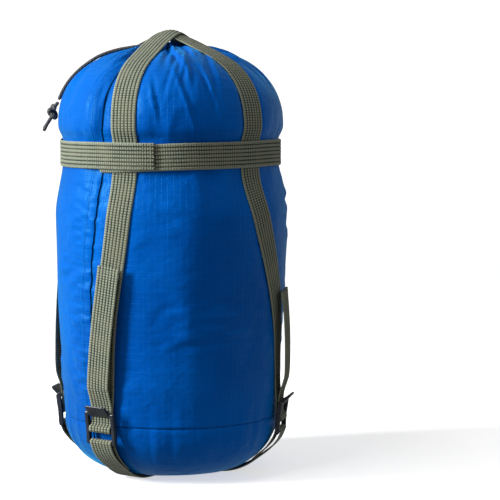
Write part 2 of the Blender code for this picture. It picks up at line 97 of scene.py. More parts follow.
# Heights and radii that follow from them
BASE_Z = 2 * WEB + 2 * GAP
FOOT_RADIUS = BELLY_RADIUS - FOOT_TAPER
FLAT_RADIUS = FOOT_RADIUS - CORNER_RADIUS
SEAM_Z = BASE_Z + CORNER_RADIUS
WAIST_RADIUS = BELLY_RADIUS - WAIST_DIP
SHOULDER_RADIUS = BELLY_RADIUS - SHOULDER_DIP
WAIST_Z = TOTAL_HEIGHT - WAIST_DROP
BAND_LOW_Z = WAIST_Z - WEB_WIDTH / 2
BAND_HIGH_Z = WAIST_Z + WEB_WIDTH / 2
BELLY_Z = BAND_LOW_Z - BELLY_DROP
SPLIT_Z = BAND_LOW_Z + TUCK
SHOULDER_Z = WAIST_Z + SHOULDER_RISE
CASING_Z = SHOULDER_Z + DOME_HEIGHT + CASING_RISE
STRAP_OUT = GAP + WEB / 2
HANDLE_SPREAD = (WEB + GAP) / 2 + HANDLE_PLAY
HANDLE_APEX_Z = TOTAL_HEIGHT - HANDLE_SPREAD - WEB / 2
HANDLE_LIFT_RADIUS = SHOULDER_RADIUS - HANDLE_LIFT_IN
TAIL_RADIUS = BELLY_RADIUS + TAIL_OUT
STRAP_FOOT_Z = BUCKLE_Z + WRAP_HEIGHT

# Cloth, webbing and thread detail
CLOTH = 0.0004
CLOTH_COLUMNS = 352
RIPSTOP = 0.0052
RIBS = 7
RIB_HEIGHT = 0.00016
PICK = 0.0021
HEM = 0.009
STITCH = 0.0026
THREAD = 0.00042
PLEATS = 34
RIDGES = 56
LIFT_LIMIT = 0.0045
SEED = 11
STITCH_IN = 0.0088
BAND_TACKS = (-46.0, -14.0)
ACROSS = np.linspace(-0.0098, 0.0098, 9)
UP = np.array([0, 0, 1.0])

# ---------------------------------------------------------------- shapes


def smooth(t):
    """A smooth step from 0 to 1, for numbers and arrays."""
    t = np.clip(t, 0.0, 1.0)
    return t * t * (3 - 2 * t)


def outward(azimuth):
    """The horizontal direction away from the axis: 0 is the front and 90 is +X."""
    a = np.radians(azimuth)
    return np.stack([np.sin(a), -np.cos(a), np.zeros_like(a)], axis=-1)


def side_radius(z):
    """The cloth's outer radius on the side wall."""
    z = np.asarray(z, float)
    knots = [
        (SEAM_Z, FOOT_RADIUS),
        (BELLY_Z, BELLY_RADIUS),
        (BAND_LOW_Z, WAIST_RADIUS),
        (BAND_HIGH_Z, WAIST_RADIUS),
        (SHOULDER_Z, SHOULDER_RADIUS),
    ]
    radius = np.full(z.shape, FOOT_RADIUS)
    for (z0, r0), (z1, r1) in zip(knots, knots[1:]):
        radius = np.where(z > z0, r0 + (r1 - r0) * smooth((z - z0) / (z1 - z0)), radius)
    return radius


def dome_height(radius):
    """The height of the dome's outer face over a plan radius."""
    share = np.clip(np.asarray(radius, float) / SHOULDER_RADIUS, 0.0, 1.0)
    return SHOULDER_Z + DOME_HEIGHT * (1 - share**DOME_POWER) ** (1 / DOME_POWER)


def dome_slope(radius):
    """How fast the dome's height falls with the plan radius."""
    step = 1e-5
    return (dome_height(radius - step) - dome_height(radius + step)) / (2 * step)


def handle_height(radius):
    """The surface that the two crossed straps share over the mouth."""
    lift = HANDLE_LIFT_RADIUS
    slope = dome_slope(lift)
    drop = HANDLE_APEX_Z - dome_height(lift) - STRAP_OUT * math.hypot(1, slope)
    return HANDLE_APEX_Z - drop * (radius / lift) ** (slope * lift / drop)


def strap_azimuth(corner, z):
    """The azimuth of a side strap's middle at a height."""
    start = BAND_AZIMUTHS[corner]
    top = SPLIT_Z - GAP
    return start + (BUCKLE_AZIMUTHS[corner] - start) * smooth((top - z) / (top - STRAP_FOOT_Z - GAP))


def seam_azimuth(z):
    """The azimuth of the cloth's upright seam at a height."""
    return -36.5 - 7.0 * smooth((WAIST_Z - z) / 0.13) + 3.0 * smooth((z - WAIST_Z) / 0.09)


def turn_between(a, b):
    """The signed angle from b to a in degrees, between -180 and 180."""
    return (np.asarray(a) - np.asarray(b) + 180.0) % 360.0 - 180.0


def bell(x, width):
    """A bell curve, 1 at 0."""
    return np.exp(-((x / width) ** 2))


def ripple(u, v, cells, size, seed):
    """Smooth noise from -1 to 1. u runs 0 to 1 round the sack and closes on itself, and v is a length."""
    rows = int(np.max(v) / size) + 3
    table = np.random.default_rng(seed).uniform(-1, 1, (rows + 1, cells))
    x, y = u * cells, v / size
    i, j = np.floor(x).astype(int), np.floor(y).astype(int)
    fx, fy = smooth(x - i), smooth(y - j)
    i0, i1 = i % cells, (i + 1) % cells
    low = table[j, i0] * (1 - fx) + table[j, i1] * fx
    high = table[j + 1, i0] * (1 - fx) + table[j + 1, i1] * fx
    return low * (1 - fy) + high * fy


def run_along(points):
    """The distance run at each point of a line."""
    return np.concatenate([[0], np.cumsum(np.linalg.norm(np.diff(points, axis=0), axis=1))])


def around_cloth():
    """The azimuths of the cloth's columns."""
    return np.linspace(-180, 180, CLOTH_COLUMNS, endpoint=False)


def through(points, step):
    """Points a step apart on a smooth curve through the given ones. Extra columns are eased along."""
    points = np.asarray(points, float)
    ends = np.vstack([points[0] * 2 - points[1], points, points[-1] * 2 - points[-2]])
    t = np.linspace(0, 1, 12, endpoint=False)[:, None]
    line = []
    for p0, p1, p2, p3 in zip(ends, ends[1:], ends[2:], ends[3:]):
        bend = p0 * 2 - p1 * 5 + p2 * 4 - p3
        twist = p1 * 3 - p0 - p2 * 3 + p3
        line.append((p1 * 2 + (p2 - p0) * t + bend * t**2 + twist * t**3) / 2)
    line = np.vstack([*line, points[-1:]])
    run = run_along(line[:, :3])
    at = np.linspace(0, run[-1], max(2, int(round(run[-1] / step)) + 1))
    return np.stack([np.interp(at, run, column) for column in line.T], axis=-1)


# ---------------------------------------------------------------- meshes


def finished(name, mesh, look, angle=180):
    """An object for a mesh, with its material, shaded smooth."""
    obj = bpy.data.objects.new(name, mesh)
    bpy.context.scene.collection.objects.link(obj)
    mesh.materials.clear()
    mesh.materials.append(look)
    mesh.shade_smooth()
    if angle < 180:
        mesh.set_sharp_from_angle(angle=math.radians(angle))
    return obj


def lofted(name, rows, look, uv, closed=True, caps=True):
    """A mesh from rows of points. closed joins the last column to the first, caps closes both ends,
    and uv holds one more column than the points when the rows are closed."""
    rows = np.asarray(rows, float)
    count, around = rows.shape[:2]
    index = np.arange(count * around).reshape(count, around)
    spans = around if closed else around - 1
    a = index[:-1, :spans]
    b = np.roll(index, -1, axis=1)[:-1, :spans]
    c = np.roll(index, -1, axis=1)[1:, :spans]
    d = index[1:, :spans]
    faces = np.stack([a, b, c, d], axis=-1).reshape(-1, 4).tolist()
    ahead = slice(1, spans + 1)
    corner = np.stack([uv[:-1, :spans], uv[:-1, ahead], uv[1:, ahead], uv[1:, :spans]], axis=2).reshape(-1, 2)
    if closed and caps:
        faces.append(index[0, ::-1].tolist())
        faces.append(index[-1].tolist())
        corner = np.vstack([corner, uv[0, :around][::-1], uv[-1, :around]])
    mesh = bpy.data.meshes.new(name)
    mesh.from_pydata(rows.reshape(-1, 3).tolist(), [], faces)
    layer = mesh.uv_layers.new(name="UVMap")
    layer.data.foreach_set("uv", corner.astype(np.float32).ravel())
    return finished(name, mesh, look)


def facing_out(obj):
    """Turns a closed mesh's faces outwards."""
    made = bmesh.new()
    made.from_mesh(obj.data)
    bmesh.ops.recalc_face_normals(made, faces=made.faces)
    made.to_mesh(obj.data)
    made.free()
    return obj


def applied(obj):
    """Turns an object's modifiers into its mesh."""
    mesh = bpy.data.meshes.new_from_object(obj.evaluated_get(bpy.context.evaluated_depsgraph_get()))
    old = obj.data
    obj.modifiers.clear()
    obj.data = mesh
    bpy.data.meshes.remove(old)
    return obj


def frames_along(centres, normals):
    """Unit normals squared to the line, and the direction across it."""
    along = np.gradient(centres, axis=0)
    along /= np.linalg.norm(along, axis=1, keepdims=True)
    across = np.cross(along, normals)
    across /= np.linalg.norm(across, axis=1, keepdims=True)
    return np.cross(across, along), across


def webbing(name, centres, normals, look, sag=None, width=WEB_WIDTH, fold_start=0.0, fold_end=0.0):
    """Ribbed webbing along a line. sag says how far its edges drop, and a fold doubles that length of an end."""
    centres = np.asarray(centres, float)
    normals, across = frames_along(centres, np.asarray(normals, float))
    sag = np.zeros(len(centres)) if sag is None else np.asarray(sag, float)
    run = run_along(centres)
    u = np.linspace(-1, 1, 4 * RIBS + 1)
    edge = smooth((1 - np.abs(u)) / 0.05)
    ribs = RIB_HEIGHT * np.cos(2 * np.pi * RIBS * (u + 1) / 2 + np.pi) * edge
    top = (WEB / 2 - RIB_HEIGHT) * (0.35 + 0.65 * edge) + ribs
    ring_u = np.concatenate([u, u[::-1]])
    ring_h = np.concatenate([top, -top[::-1]])
    inner = np.concatenate([np.zeros(len(u)), np.ones(len(u))])
    folded = np.maximum(smooth((fold_start - run) / 0.0012), smooth((fold_end - (run[-1] - run)) / 0.0012))
    folded = folded if fold_start or fold_end else np.zeros(len(run))
    height = ring_h[None] - inner[None] * folded[:, None] * WEB * 0.9
    sway = 0.00025 * np.sin(run / 0.017 + len(name))
    rows = centres[:, None] + across[:, None] * (ring_u[None] * width / 2 + sway[:, None])[..., None]
    rows = rows + normals[:, None] * (height - sag[:, None] * ring_u[None] ** 2)[..., None]
    around = np.concatenate([(u + 1) / 2 * width, (u[::-1] + 1) / 2 * width, [0]])
    uv = np.stack(np.broadcast_arrays(around[None], run[:, None]), axis=-1)
    return facing_out(lofted(name, rows, look, uv))


def tube(name, points, radius, look, sides=12):
    """A round tube along points, with domed ends."""
    points = np.asarray(points, float)
    along = np.gradient(points, axis=0)
    along /= np.linalg.norm(along, axis=1, keepdims=True)
    side = np.cross(along[0], (0, 1, 0.2))
    sides_at, ups = [], []
    for direction in along:
        side = side - direction * np.dot(side, direction)
        side /= np.linalg.norm(side)
        sides_at.append(side)
        ups.append(np.cross(direction, side))
    angle = np.linspace(0, 2 * np.pi, sides, endpoint=False)
    cos, sin = np.cos(angle)[None, :, None], np.sin(angle)[None, :, None]
    ring = cos * np.array(sides_at)[:, None] + sin * np.array(ups)[:, None]
    size = np.full(len(points), radius)
    size[0] *= 0.55
    size[-1] *= 0.55
    rows = points[:, None] + ring * size[:, None, None]
    run = run_along(points)
    around = np.linspace(0, 1, sides + 1)
    uv = np.stack(np.broadcast_arrays(around[None], run[:, None]), axis=-1)
    return facing_out(lofted(name, rows, look, uv))


def joined(name, objects):
    """Several objects made one."""
    with bpy.context.temp_override(active_object=objects[0], selected_editable_objects=objects):
        bpy.ops.object.join()
    objects[0].name = name
    return objects[0]


def plane_line(points, azimuth, step):
    """Centres, normals and extra columns along (radius, height, ...) points in an upright plane."""
    points = np.asarray(points, float)
    if points.shape[1] == 2:
        points = np.column_stack([points, np.zeros(len(points))])
    line = through(np.column_stack([points[:, 0], np.zeros(len(points)), points[:, 1], points[:, 2:]]), step)
    out = outward(float(azimuth))
    slope = np.gradient(line[:, [0, 2]], axis=0)
    slope /= np.linalg.norm(slope, axis=1, keepdims=True)
    centres = out[None] * line[:, :1] + UP[None] * line[:, 2:3]
    normals = out[None] * -slope[:, 1:2] + UP[None] * slope[:, :1]
    return centres, normals, line[:, 3]


# ---------------------------------------------------------------- materials


class Wire:
    """A shader socket that Python's operators work on."""

    def __init__(self, sheet, socket):
        self.sheet = sheet
        self.socket = socket

    def math(self, operation, *values):
        return self.sheet.node("ShaderNodeMath", {"operation": operation}, dict(enumerate((self, *values))))

    def __add__(self, other):
        return self.math("ADD", other)

    def __radd__(self, other):
        return self + other

    def __sub__(self, other):
        return self.math("SUBTRACT", other)

    def __rsub__(self, other):
        return self.sheet.node("ShaderNodeMath", {"operation": "SUBTRACT"}, {0: other, 1: self})

    def __mul__(self, other):
        return self.math("MULTIPLY", other)

    def __rmul__(self, other):
        return self * other

    def __truediv__(self, other):
        return self.math("DIVIDE", other)

    def __pow__(self, other):
        return self.math("POWER", other)

    def cos(self):
        return self.math("COSINE")

    def sin(self):
        return self.math("SINE")

    def size(self):
        return self.math("ABSOLUTE")

    def fit(self, low, high, out_low=0.0, out_high=1.0):
        """The value between low and high, eased from out_low to out_high."""
        return self.sheet.node(
            "ShaderNodeMapRange",
            {"interpolation_type": "SMOOTHSTEP"},
            {"Value": self, "From Min": low, "From Max": high, "To Min": out_low, "To Max": out_high},
        )


class Sheet:
    """A material's node tree, from an empty Principled material."""

    def __init__(self, name, **constants):
        self.material = bpy.data.materials.new(name)
        self.material.use_nodes = True
        self.tree = self.material.node_tree
        self.shader = self.tree.nodes["Principled BSDF"]
        self.feed(self.shader, {key.replace("_", " "): value for key, value in constants.items()})

    def feed(self, node, values):
        for key, value in values.items():
            if isinstance(value, Wire):
                self.tree.links.new(value.socket, node.inputs[key])
            else:
                node.inputs[key].default_value = value

    def node(self, kind, settings, values, output=0):
        made = self.tree.nodes.new(kind)
        for key, value in settings.items():
            setattr(made, key, value)
        self.feed(made, values)
        return Wire(self, made.outputs[output])

    def mix(self, share, first, second, mode="MIX"):
        """A colour between two."""
        settings = {"data_type": "RGBA", "blend_type": mode}
        return self.node("ShaderNodeMix", settings, {0: share, 6: first, 7: second}, 2)

    def place(self):
        return self.node("ShaderNodeTexCoord", {}, {}, "Object")

    def flat(self):
        """The piece's own u and v, in metres on cloth and webbing."""
        uv = self.node("ShaderNodeUVMap", {"uv_map": "UVMap"}, {})
        split = self.node("ShaderNodeSeparateXYZ", {}, {0: uv})
        return split, Wire(self, split.socket.node.outputs[1])

    def noise(self, scale, detail=3.0, roughness=0.5, vector=None, stretch=None):
        where = self.place() if vector is None else vector
        if stretch is not None:
            where = self.node("ShaderNodeVectorMath", {"operation": "MULTIPLY"}, {0: where, 1: stretch})
        values = {"Vector": where, "Scale": scale, "Detail": detail, "Roughness": roughness}
        return self.node("ShaderNodeTexNoise", {}, values)

    def relief(self, height, distance, strength=1.0):
        """Feeds a height in to the shader's normal."""
        bump = self.node("ShaderNodeBump", {}, {"Height": height, "Distance": distance, "Strength": strength})
        self.feed(self.shader, {"Normal": bump})


def colour(red, green, blue):
    return (red, green, blue, 1.0)


def cloth_look():
    """Bright blue ripstop nylon, with a fine grid, soft creases and a stitched seam whose line is darkened with
    painted shade.
    """
    sheet = Sheet(
        "ripstop_nylon",
        Sheen_Weight=0.55,
        Sheen_Roughness=0.40,
        Sheen_Tint=colour(0.0, 0.50, 1.0),
        Specular_IOR_Level=0.16,
        Specular_Tint=colour(0.0, 0.70, 1.0),
    )
    u, v = sheet.flat()
    line_u = ((u * (math.pi / RIPSTOP)).sin().size()).fit(0.16, 0.03)
    line_v = ((v * (math.pi / RIPSTOP)).sin().size()).fit(0.16, 0.03)
    grid = line_u.math("MAXIMUM", line_v)
    weave = (u * (2 * math.pi / 0.0011)).sin() * (v * (2 * math.pi / 0.0011)).sin()
    crease = sheet.noise(16.0, 4.0, 0.52, stretch=(1.0, 1.0, 1.5))
    crumple = (sheet.noise(38.0, 3.0, 0.5) - 0.5).size()
    seam = sheet.node("ShaderNodeAttribute", {"attribute_name": "seam"}, {}, "Fac")
    # mask of the seam line: it darkens the colour with painted shade and dents the bump
    shaded_seam_groove = seam.size().fit(0.0011, 0.0003)
    lap = seam.fit(-0.0115, -0.0105) * seam.fit(0.0004, -0.0004)
    stitch = (seam + 0.0086).size().fit(0.0006, 0.0002) * ((v * (math.pi / STITCH)).sin().size()).fit(0.35, 0.55)
    patchy = sheet.noise(9.0, 2.0, 0.5).fit(0.35, 0.65)
    base = sheet.mix(patchy, colour(0.0001, 0.066, 0.350), colour(0.0002, 0.094, 0.450))
    base = sheet.mix(grid * 0.12, base, colour(0.003, 0.230, 0.900))
    # painted shade: the seam line goes near black blue, standing in for the shadow of the lapped cloth
    base = sheet.mix(shaded_seam_groove * 0.9, base, colour(0.0005, 0.010, 0.070))
    base = sheet.mix(stitch * 0.8, base, colour(0.002, 0.050, 0.300))
    sheet.feed(sheet.shader, {"Base Color": base, "Roughness": crease.fit(0.3, 0.7, 0.30, 0.44)})
    height = crease * 1.5 - crumple * 0.45 + grid * 0.035 + weave * 0.008
    height = height + lap * 0.25 - shaded_seam_groove * 0.4 - stitch * 0.15
    sheet.relief(height, 0.0034, 0.85)
    return sheet.material


def webbing_look():
    """Grey olive webbing: lengthwise ribs crossed by gaps darkened with painted shade, with pale selvedges."""
    sheet = Sheet("olive_webbing", Specular_IOR_Level=0.2, Sheen_Weight=0.08, Sheen_Roughness=0.5)
    u, v = sheet.flat()
    across = u * (2 * math.pi * RIBS / WEB_WIDTH)
    rib = ((across + math.pi).cos() * 0.5 + 0.5).fit(0.02, 0.50)
    pick = ((v * (math.pi / PICK)).sin().size()).fit(0.22, 0.72)
    yarn = (v * (2 * math.pi / (PICK / 3)) + across).cos() * 0.5 + 0.5
    middle = (u - WEB_WIDTH / 2).size()
    selvedge = middle.fit(WEB_WIDTH / 2 - 0.0016, WEB_WIDTH / 2 - 0.0008)
    worn = sheet.noise(420.0, 3.0, 0.6)
    # painted shade: body is low in the gaps between ribs and picks, which darkens the weave's hollows
    body = rib * (pick * 0.80 + 0.20)
    shaded_weave_tone = body * (1 - selvedge) + selvedge * (pick * 0.35 + 0.65)
    shaded_weave_tone = shaded_weave_tone * (worn * 0.5 + 0.72) + yarn * 0.05
    # painted shade: the weave's gaps go near black, standing in for shadow in its hollows; the light end is the
    # yarn's olive
    base = sheet.mix(shaded_weave_tone, colour(0.016, 0.019, 0.014), colour(0.240, 0.266, 0.194))
    dusty = sheet.noise(60.0, 2.0, 0.5).fit(0.35, 0.7)
    base = sheet.mix(dusty * 0.22, base, colour(0.260, 0.235, 0.150))
    sheet.feed(sheet.shader, {"Base Color": base, "Roughness": rib.fit(0.0, 1.0, 0.92, 0.74)})
    sheet.relief(shaded_weave_tone * 0.7 + pick * rib * 0.3, 0.00045, 1.0)
    return sheet.material


def plastic_look():
    """Black moulded acetal with a fine grain and rubbed edges."""
    sheet = Sheet("black_acetal", Specular_IOR_Level=0.5, Coat_Roughness=0.3)
    grain = sheet.noise(900.0, 2.0, 0.5)
    rubbed = sheet.noise(140.0, 4.0, 0.6).fit(0.52, 0.72)
    base = sheet.mix(rubbed * 0.5, colour(0.012, 0.015, 0.023), colour(0.032, 0.036, 0.045))
    sheet.feed(sheet.shader, {"Base Color": base, "Roughness": grain * 0.18 + 0.26 + rubbed * 0.1})
    sheet.relief(grain, 0.00006, 0.5)
    return sheet.material


def cord_look():
    """Black braided cord: two sets of yarns that cross on a slant, the crevices between them darkened with
    painted shade.
    """
    sheet = Sheet("black_cord", Specular_IOR_Level=0.35, Sheen_Weight=0.2, Sheen_Roughness=0.4)
    u, v = sheet.flat()
    one = (u * (2 * math.pi * 4) + v * (2 * math.pi / 0.0034)).sin()
    two = (u * (2 * math.pi * 4) - v * (2 * math.pi / 0.0034)).sin()
    braid = one.math("MAXIMUM", two) * 0.5 + 0.5
    fuzz = sheet.noise(700.0, 2.0, 0.6)
    # painted shade: between the crossing yarns the colour falls to near black, standing in for shadow in the
    # crevices
    base = sheet.mix(braid * (fuzz * 0.6 + 0.5), colour(0.006, 0.006, 0.008), colour(0.085, 0.082, 0.080))
    sheet.feed(sheet.shader, {"Base Color": base, "Roughness": fuzz * 0.2 + 0.55})
    sheet.relief(braid, 0.00035, 0.9)
    return sheet.material


def thread_look(name, dark, light):
    """Twisted sewing thread."""
    sheet = Sheet(name, Specular_IOR_Level=0.4)
    twist = sheet.noise(1500.0, 1.0, 0.5)
    sheet.feed(sheet.shader, {"Base Color": sheet.mix(twist, dark, light), "Roughness": twist * 0.2 + 0.5})
    sheet.relief(twist, 0.00005, 0.5)
    return sheet.material


def floor_look():
    """Plain pale floor."""
    sheet = Sheet("pale_floor", Specular_IOR_Level=0.1, Emission_Strength=0.66)
    speck = sheet.noise(30.0, 2.0, 0.5)
    base = sheet.mix(speck, colour(0.86, 0.86, 0.86), colour(0.89, 0.89, 0.89))
    sheet.feed(sheet.shader, {"Base Color": base, "Roughness": speck * 0.1 + 0.7, "Emission Color": base})
    return sheet.material


# ---------------------------------------------------------------- drawcord


ROUTE = [
    (-0.0155, 0.3670), (-0.0303, 0.3651), (-0.0457, 0.3624), (-0.0602, 0.3575),
    (-0.0713, 0.3507), (-0.0800, 0.3436), (-0.0868, 0.3360), (-0.0920, 0.3278), (-0.0957, 0.3200),
]


def drawcord(look):
    """Two strands from the casing over the dome's left side, joined in an overhand knot with two short ends."""
    strands = []
    for strand, side in (("front", -1), ("back", 1)):
        weave = [0.0, 0.0, 0.0002, -0.0002, 0.0, 0.0003, 0.0, -0.0002, -0.0003]
        path = through([(x, side * STRAND_SPREAD / 2 + dy, z) for (x, z), dy in zip(ROUTE, weave)], 0.0015)
        strands.append((tube(f"drawcord_strand_{strand}", path, CORD / 2, look), path))

    size = 0.00205
    pieces = []
    for side in (-1, 1):
        t = np.linspace(math.radians(28), math.radians(332), 90)
        shift = side * 0.0013
        x = size * (np.sin(t) + 2 * np.sin(2 * t)) * (1 + side * 0.10)
        z = size * (np.cos(t) - 2 * np.cos(2 * t)) * (1 + side * 0.10) * 1.15
        y = size * -1.35 * np.sin(3 * t) + shift
        turn = math.radians(38)
        cos, sin = math.cos(turn), math.sin(turn)
        loop = np.column_stack([x * cos - z * sin, y, x * sin + z * cos])
        loop = loop * np.array([0.50, 1.0, 0.82]) + np.array(KNOT_PLACE)
        pieces.append(tube(f"knot_turn_{side}", loop, CORD / 2 * 0.97, look))
        entry = [
            (-0.0962, side * STRAND_SPREAD / 2, 0.3180),
            (-0.0985, side * 0.0016, 0.3150),
            (-0.1005, side * 0.0012, 0.3120),
        ]
        pieces.append(tube(f"knot_entry_{side}", through(entry, 0.001), CORD / 2, look))
        end = [
            (-0.1010, side * 0.0012, 0.3070),
            (-0.1030, side * 0.0014, 0.3038),
            (-0.1052, side * 0.0016, 0.3004),
            (-0.1074, side * 0.0018 + 0.0002, 0.2968 + side * 0.0006),
            (-0.1088, side * 0.0021, 0.2942 + side * 0.0009),
        ]
        pieces.append(tube(f"knot_end_{side}", through(end, 0.001), CORD / 2, look))
    knot = joined("drawcord_knot_tied", pieces)
    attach(knot, "top")
    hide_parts("drawcord_knot", "drawcord_end_front", "drawcord_end_back")
    for (strand, path), side in zip(strands, ("front", "back")):
        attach(strand, "top")
        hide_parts(f"drawcord_strand_{side}")
    ring_angle = np.linspace(0, 2 * np.pi, 73)[:-1]
    radial = np.column_stack([np.cos(ring_angle), np.sin(ring_angle), np.zeros(72)])
    rings = radial * CASING_RADIUS + (0, 0, CASING_Z)
    around = np.linspace(0, 2 * np.pi, 12, endpoint=False)
    cos, sin = np.cos(around)[None, :, None], np.sin(around)[None, :, None]
    rows = rings[:, None] + (radial[:, None] * cos + UP * sin) * CORD / 2
    rows = np.concatenate([rows, rows[:1]])
    girth = np.linspace(0, 2 * np.pi * CASING_RADIUS, 73)
    uv = np.stack(np.broadcast_arrays(np.linspace(0, 1, 13)[None], girth[:, None]), axis=-1)
    ring = lofted("drawcord_in_casing", rows, look, uv, caps=False)
    made = bmesh.new()
    made.from_mesh(ring.data)
    bmesh.ops.remove_doubles(made, verts=made.verts, dist=1e-6)
    bmesh.ops.recalc_face_normals(made, faces=made.faces)
    made.to_mesh(ring.data)
    made.free()
    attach(ring, "top")
    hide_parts("drawcord_ring")


# ---------------------------------------------------------------- cloth


def skin(name, rows_r, rows_z, lift, look, seam=None):
    """A cloth skin round the axis, moved out by lift, with u and v in metres and a seam distance."""
    azimuth = around_cloth()
    slope = np.stack([np.gradient(rows_r), np.gradient(rows_z)], axis=-1)
    slope /= np.linalg.norm(slope, axis=1, keepdims=True)
    normal_r, normal_z = slope[:, 1], -slope[:, 0]
    sign = np.sign(np.sum(normal_r * rows_r) + 1e-9)
    normal_r, normal_z = normal_r * sign, normal_z * sign
    out = outward(azimuth)
    radius = rows_r[:, None] + lift * normal_r[:, None]
    height = rows_z[:, None] + lift * normal_z[:, None]
    points = out[None] * radius[..., None] + UP * height[..., None]
    run = np.concatenate([[0], np.cumsum(np.hypot(np.diff(rows_r), np.diff(rows_z)))])
    u = np.linspace(0, 2 * np.pi * BELLY_RADIUS, CLOTH_COLUMNS + 1)
    uv = np.stack(np.broadcast_arrays(u[None], run[:, None]), axis=-1)
    obj = lofted(name, points, look, uv, caps=False)
    distance = np.full(radius.shape, 1.0)
    if seam is not None:
        distance = np.radians(turn_between(azimuth[None], seam[:, None])) * np.maximum(rows_r[:, None], 0.01)
    stored = obj.data.attributes.new("seam", "FLOAT", "POINT").data
    stored.foreach_set("value", distance.astype(np.float32).ravel())
    return obj


def thick(obj):
    """Gives a cloth skin its thickness, inwards."""
    made = bmesh.new()
    made.from_mesh(obj.data)
    bmesh.ops.remove_doubles(made, verts=made.verts, dist=1e-7)
    total = sum(face.normal.dot(face.calc_center_median() - Vector((0, 0, 0.19))) for face in made.faces)
    if total < 0:
        bmesh.ops.reverse_faces(made, faces=made.faces)
    made.to_mesh(obj.data)
    made.free()
    solid = obj.modifiers.new("Thickness", "SOLIDIFY")
    solid.thickness = CLOTH
    solid.offset = -1.0
    return applied(obj)


def strap_press(azimuth, z, radius, width=0.017):
    """How strongly the straps hold the cloth down, from 0 to 1."""
    press = np.zeros(np.broadcast(azimuth, z).shape)
    for corner in BAND_AZIMUTHS:
        middle = np.where(z < SPLIT_Z, strap_azimuth(corner, z), BAND_AZIMUTHS[corner])
        distance = np.radians(turn_between(azimuth, middle)) * radius
        press = np.maximum(press, bell(distance, width))
    return press


def side_cloth(look):
    """The side wall: taut between the straps, with a puckered upright seam."""
    z = np.linspace(SEAM_Z, SPLIT_Z + 0.001, 130)
    azimuth = around_cloth()
    u = (azimuth[None] + 180) / 360 + z[:, None] * 0
    height = z[:, None] + azimuth[None] * 0
    radius = side_radius(z)[:, None]
    press = strap_press(azimuth[None], height, radius)
    ends = smooth((height - SEAM_Z) / 0.035) * smooth((SPLIT_Z - height) / 0.02)
    free = 1 - press
    lift = 0.0016 * free * ends
    lift = lift + 0.0018 * ripple(u, height, 13, 0.10, SEED) * ends * free
    rise = smooth((height - SEAM_Z) / 0.01)
    lift = lift + 0.0006 * ripple(u + height * 0.25, height, 34, 0.05, SEED + 1) * free * rise
    drape = ripple(u, height, 16, 0.045, SEED + 7)
    slack = height + 0.004 * ripple(u, height, 20, 0.03, SEED + 2)
    fold = ripple(u, slack - SEAM_Z + 0.01, 46, 0.0058, SEED + 12)
    lift = lift + 0.00125 * fold * smooth((drape - 0.05) / 0.5) * free * ends
    seam = seam_azimuth(z)
    away = np.radians(turn_between(azimuth[None], seam[:, None])) * radius
    pucker = ripple(u, height + away * 0.12 + 0.02, 64, 0.0036, SEED + 9)
    lift = lift + 0.00105 * pucker * np.where(away < 0, bell(away + 0.006, 0.032), bell(away, 0.006)) * ends
    lift = lift - 0.0011 * bell(away - 0.0015, 0.0030) * ends
    foot = bell(height - SEAM_Z, 0.020)
    lift = lift + 0.0005 * foot * ripple(u, height, 90, 0.2, SEED + 3) * (1 - 0.6 * press)
    waist = bell(height - SPLIT_Z, 0.022)
    under = smooth((SPLIT_Z - height) / 0.006)
    lift = lift + 0.0009 * waist * ripple(u + height * 0.3, height, 70, 0.05, SEED + 4) * free * under
    skinned = thick(skin("side_cloth", side_radius(z), z, lift, look, seam))
    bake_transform(skinned)
    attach(skinned, "base")
    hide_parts("side_fabric")


def base_cloth(look):
    """The round base with its turned-up corner, creased towards the middle."""
    angle = np.radians(np.linspace(90, 0, 40))
    corner_r = FLAT_RADIUS + CORNER_RADIUS * np.sin(angle)
    corner_z = SEAM_Z - CORNER_RADIUS * np.cos(angle)
    flat_r = np.linspace(FLAT_RADIUS, 0.0008, 30)[1:]
    r = np.concatenate([corner_r, flat_r])
    z = np.concatenate([corner_z, np.full(len(flat_r), BASE_Z)])
    azimuth = around_cloth()
    u = (azimuth[None] + 180) / 360 + r[:, None] * 0
    run = np.concatenate([[0], np.cumsum(np.hypot(np.diff(r), np.diff(z)))])[:, None]
    lift = 0.0007 * ripple(u, run, 90, 0.05, SEED + 3) * bell(run - 0.012, 0.022)
    spread = smooth(run / 0.01) * smooth((r[:, None] - 0.02) / 0.03)
    lift = lift + 0.0005 * ripple(u, run, 16, 0.05, SEED + 5) * spread
    lift = lift - 0.0006 * bell(run, 0.002)
    press = np.zeros(lift.shape)
    for middle in BUCKLE_AZIMUTHS.values():
        across = np.radians(turn_between(azimuth[None], middle)) * np.maximum(r[:, None], 0.02)
        press = np.maximum(press, smooth((0.017 - np.abs(across)) / 0.005))
    lift = np.where(press > 0, np.minimum(lift, lift * (1 - press)), lift)
    lift = lift + 0.0005 * (1 - press) * smooth(run / 0.02)
    lift = lift * smooth((r[:, None] - 0.004) / 0.02)
    obj = skin("base_cloth", r, z, lift, look, np.full(len(r), -45.0))
    made = bmesh.new()
    made.from_mesh(obj.data)
    made.verts.ensure_lookup_table()
    hub = made.verts[-CLOTH_COLUMNS:]
    bmesh.ops.contextual_create(made, geom=list(hub))
    made.to_mesh(obj.data)
    made.free()
    panel = thick(obj)
    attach(panel, "base")
    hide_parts("base_panel")


